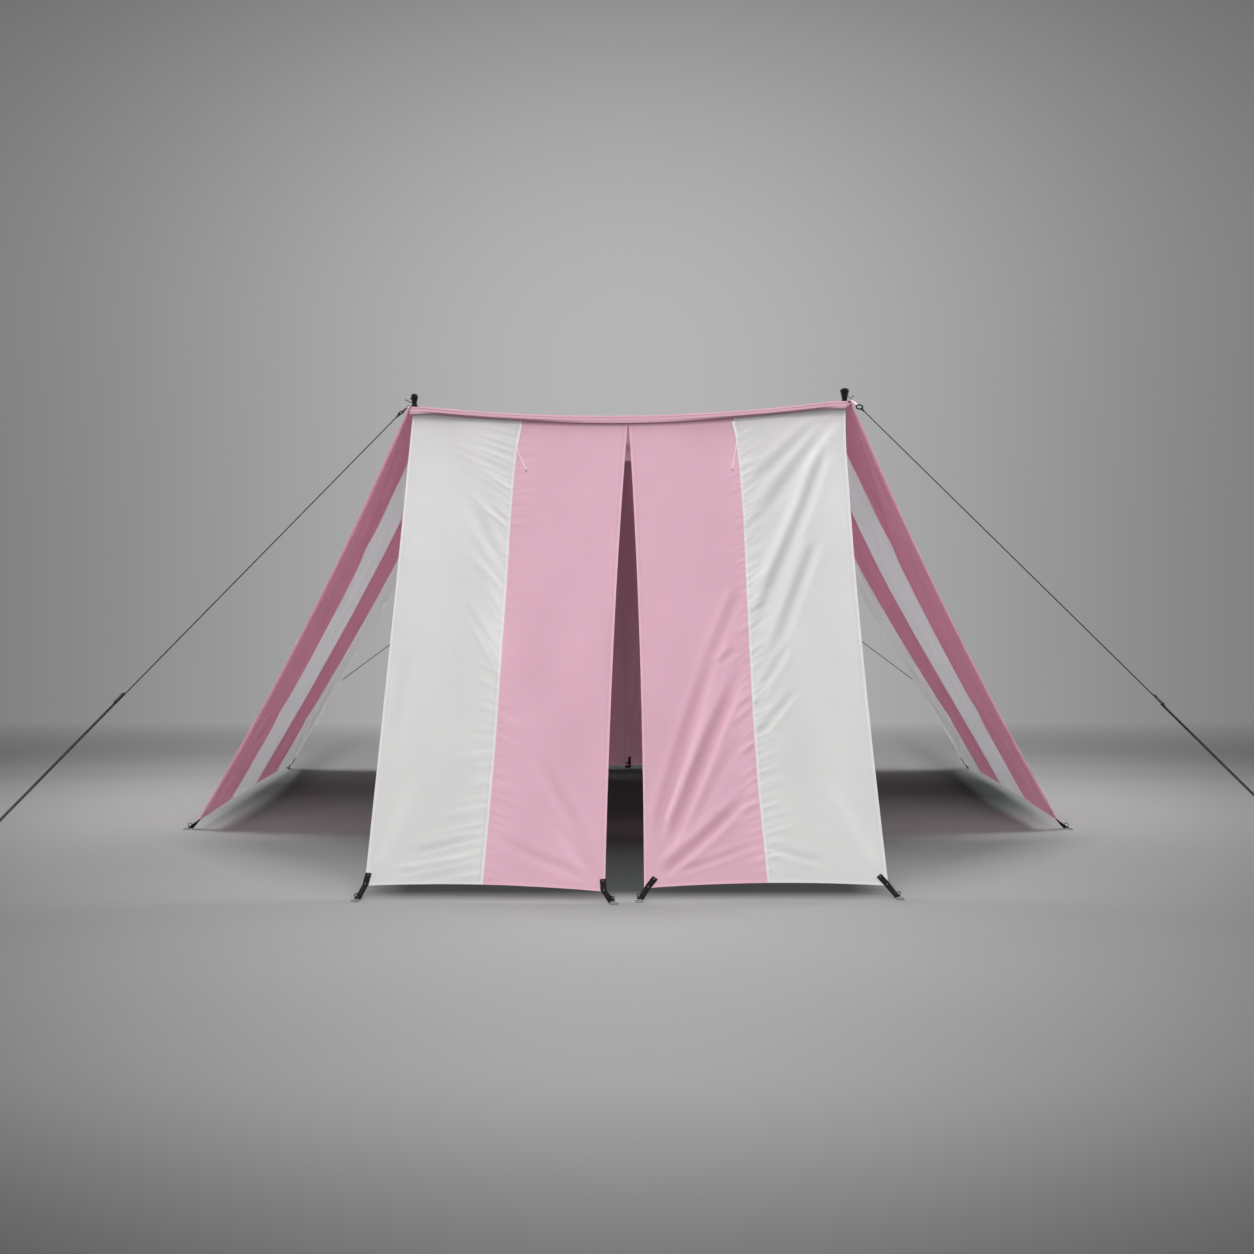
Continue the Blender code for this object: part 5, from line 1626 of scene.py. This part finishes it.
class TENT_OT_straps(Operator):
    bl_idname = "tent.straps"
    bl_label = "Straps"

    def execute(self, context):
        """The straps at the feet of the front wall, the wings and the back wall, with their pegs."""
        for side, word in SIDES.items():
            for corner, place in STRAP_PLACE.items():
                here, normal, outward, upward = surface_frame(front_point, side, place[side], 1.0)
                inward = upward - outward * STRAP_LEAN[corner][side]
                out, ahead = STRAP_LANDING[corner][side]
                landing = here + np.array([side * out, -ahead, 0])
                heading = (side * PEG_HEADING[corner][side], -1)
                self.strap_and_peg(f"front_{corner}_{word}", here, inward, normal, heading, landing)
            for place, along in WING_STRAP_PLACE.items():
                here, normal, _, upward = surface_frame(wing_point, side, along, 1.0)
                out, back = WING_PEG_OUT[place]
                landing = here + np.array([side * out, back, 0])
                heading = (side * WING_PEG_HEADING[place][0], WING_PEG_HEADING[place][1])
                self.strap_and_peg(f"wing_{place}_{word}", here, upward, normal, heading, landing,
                                   side * WING_STRAP_TWIST[place], place == "rear")
        corner = HALF_W - BACK_STRAP_INSET
        for word, x in (("left", -corner), ("middle", 0.0), ("right", corner)):
            face = BACK_FACE + (WALL_CLOTH + 2 * GAP if word == "middle" else 0.0)
            here = np.array([x, face, BACK_FOOT + STRAP_BEND])
            landing = here + np.array([0, BACK_PEG_OUT, 0])
            self.strap_and_peg(f"back_{word}", here, (0, 0, 1), np.array([0, 1, 0]), (0, 1), landing,
                               inside=True, width=BACK_MIDDLE_WIDTH if word == "middle" else STRAP_WIDTH)
        return {"FINISHED"}

    def strap_and_peg(self, name, corner, inward, normal, heading, landing, twist=0.0, inside=False,
                      width=STRAP_WIDTH):
        """A riveted patch on the cloth, the strap from under it down to two folded ears with a ring
        in them, and the wire loop. Where the strap leaves the cloth its width turns level, by a
        smoothed step of the way run, and by twist about the upright. inside adds a patch within."""
        inward = unit(np.asarray(inward, float))
        normal = np.asarray(normal, float)
        end = np.array([landing[0], landing[1], STRAP_END_LIFT])
        head = corner + inward * STRAP_ON_CLOTH + normal * STRAP_LIFT
        bend = corner + inward * STRAP_BEND + normal * STRAP_LIFT
        main = smooth_path([head, head * 0.5 + bend * 0.5, bend, bend * 0.45 + end * 0.55, end], 0.0020)
        run = path_run(main)
        turn = smooth((run - 0.8 * STRAP_ON_CLOTH) / (run[-1] - 0.8 * STRAP_ON_CLOTH))[:, None]
        across = np.cross(normal, inward)
        level = unit(across * (1, 1, 0))
        level = level * math.cos(twist) + np.cross((0, 0, 1), level) * math.sin(twist)
        way = unit(np.gradient(main, axis=0))
        sides = unit(across * (1 - turn) + level * turn)
        sides = unit(sides - 0.6 * way * np.sum(sides * way, axis=1, keepdims=True) * turn)
        shape = Shape()
        strap(shape, main, sides, STRAP_THICK * 0.5, width, taper=0.90 + 0.08 * turn[:, 0])
        on_cloth = run < STRAP_ON_CLOTH * 1.04
        up = unit(np.cross(sides, way))
        patch = (main + up * STRAP_THICK * 0.48)[on_cloth]
        share = run[on_cloth] / run[on_cloth][-1]
        rounded = np.minimum(1, 0.70 + 4 * np.minimum(share, 1 - share))
        strap(shape, patch, sides[on_cloth], STRAP_THICK * 0.48, width * 0.92, taper=rounded)
        if inside:
            within = main[on_cloth] - normal * 0.0062
            strap(shape, within, sides[on_cloth], 0.0018, width * 0.90, taper=rounded)
        for share in (0.18, 0.86):
            k = int(len(patch) * share)
            turned(shape, RIVET_HEAD, patch[k] + up[k] * STRAP_THICK * 0.46, up[k], 20, slots=1)
        rise = unit(np.cross(sides[-1], way[-1]))
        angle = np.linspace(-0.5 * math.pi, 1.15 * math.pi, 18)[:, None]
        hollow = main[-1] + rise * 0.0032 + way[-1] * 0.0015
        eye = hollow + (way[-1] * np.cos(angle) + rise * np.sin(angle)) * 0.0032
        for ear in (-1, 1):
            strap(shape, eye + sides[-1] * ear * STRAP_WIDTH * 0.33, sides[-1], 0.0012, STRAP_WIDTH * 0.30)
        flat = unit(np.array([*heading, 0.0]))
        stand = flat * 0.45 + np.array([0, 0, 0.9])
        stand = unit(stand - sides[-1] * (stand @ sides[-1]))
        radius, wire = STRAP_RING
        ring(shape, hollow + stand * radius, sides[-1], stand, radius, wire, 36, 10, slots=2)
        add_piece(f"peg_strap_{name}", shape, [finish("leather"), finish("rivet"), finish("plastic")],
                  "black_strap", f"strap_{name}")
        self.peg(f"wire_peg_{name}", end * (1, 1, 0) + flat * PEG_AHEAD, flat, f"peg_{name}")

    def peg(self, name, place, heading, node):
        """A wire loop lying on the ground before the strap, with its shank back under the strap's
        end: a straight line, then an arc."""
        left = np.array([-heading[1], heading[0], 0.0])
        centre = place + heading * PEG_LOOP_AHEAD + np.array([0, 0, PEG_WIRE])
        angles = np.radians(np.linspace(-150, 168, 60))[:, None]
        loop = centre + PEG_LOOP * (heading * np.cos(angles) + left * np.sin(angles))
        shank = heading * -PEG_SHANK + left * PEG_LOOP * 0.35
        straight = loop[0] + shank * np.linspace(1, 0, 12)[:-1, None]
        shape = Shape()
        bar(shape, np.concatenate([straight, loop]), PEG_WIRE * 0.98, (0, 0, 1), 14)
        add_piece(name, shape, [finish("steel")], "peg_wire", node)


# Tapes and hanging cords on the front seams
TAPE_LOOK = {-1: (0.0095, 0.003), 1: (0.0140, 0.0)}
TAPE_LIFT = 0.0010
TAPE_PLACES = {-1: [(0.491, 0.026), (0.497, 0.052), (0.502, 0.080)],
               1: [(0.480, 0.024), (0.4895, 0.046), (0.499, 0.068)]}
TIE_RADIUS = 0.0022
TIE_ROUTE = {
    -1: [(-0.517, -1.0735, 1.8144), (-0.516, -1.0820, 1.8014), (-0.510, -1.0960, 1.7813),
         (-0.500, -1.1120, 1.7573), (-0.488, -1.1280, 1.7332), (-0.477, -1.1420, 1.7122),
         (-0.468, -1.1555, 1.6922)],
    1: [(0.5085, -1.0585, 1.8490), (0.5045, -1.0700, 1.8317), (0.4995, -1.0870, 1.8064),
        (0.4945, -1.1060, 1.7772), (0.4890, -1.1240, 1.7500), (0.4840, -1.1430, 1.7229),
        (0.4792, -1.1605, 1.6959)],
}


class TENT_OT_ties(Operator):
    bl_idname = "tent.ties"
    bl_label = "Ties"

    def execute(self, context):
        """A sewn tape on each front seam, and the short cord that hangs from it."""
        for side, word in SIDES.items():
            places = [surface_frame(front_point, side, *place) for place in TAPE_PLACES[side]]
            path = smooth_path([here + normal * TAPE_LIFT for here, normal, _, _ in places], 0.003)
            shape = Shape()
            wide, aside = TAPE_LOOK[side]
            strap(shape, path + (side * aside, 0, 0), (-1, 0, 0), 0.0016, wide)
            add_piece(f"seam_tape_{word}", shape, [finish("tape")], "white_cloth", f"tie_tape_{word}")
            route = smooth_path(TIE_ROUTE[side], 0.002)
            shape = Shape()
            bar(shape, route, TIE_RADIUS * 0.95, (1, 0, 0), 14)
            tip = route[-5:]
            bar(shape, tip, TIE_RADIUS * 1.12, (1, 0, 0), 14, slots=1)
            piece = add_piece(f"hanging_cord_{word}", shape, [finish("tie"), finish("tie_end")],
                              "tie_cord", f"tie_cord_{word}")
        return {"FINISHED"}


class TENT_PT_panel(Panel):
    bl_label = "Pole tent"
    bl_idname = "TENT_PT_panel"
    bl_space_type = "VIEW_3D"
    bl_region_type = "UI"
    bl_category = "Tent"

    def draw(self, context):
        layout = self.layout
        for group in (context.scene.tent_cloth, context.scene.tent_fittings, context.scene.tent_stage):
            box = layout.box()
            for name in group.__annotations__:
                box.prop(group, name)
        for operator in OPERATORS:
            layout.operator(operator.bl_idname)


GROUPS = {
    "tent_cloth": TentClothSettings,
    "tent_fittings": TentFittingSettings,
    "tent_stage": TentStageSettings,
}
OPERATORS = [TENT_OT_stage, TENT_OT_ties, TENT_OT_roof, TENT_OT_bands, TENT_OT_wings, TENT_OT_front_wall,
             TENT_OT_back_wall, TENT_OT_poles, TENT_OT_knobs, TENT_OT_tabs, TENT_OT_guys, TENT_OT_straps]


def register():
    for cls in [*GROUPS.values(), *OPERATORS, TENT_PT_panel]:
        bpy.utils.register_class(cls)
    for name, group in GROUPS.items():
        setattr(bpy.types.Scene, name, PointerProperty(type=group))


def unregister():
    for name in GROUPS:
        delattr(bpy.types.Scene, name)
    for cls in reversed([*GROUPS.values(), *OPERATORS, TENT_PT_panel]):
        bpy.utils.unregister_class(cls)


def main():
    register()
    for operator in OPERATORS:
        group, name = operator.bl_idname.split(".")
        getattr(getattr(bpy.ops, group), name)()
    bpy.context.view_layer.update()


if __name__ == "__main__":
    main()
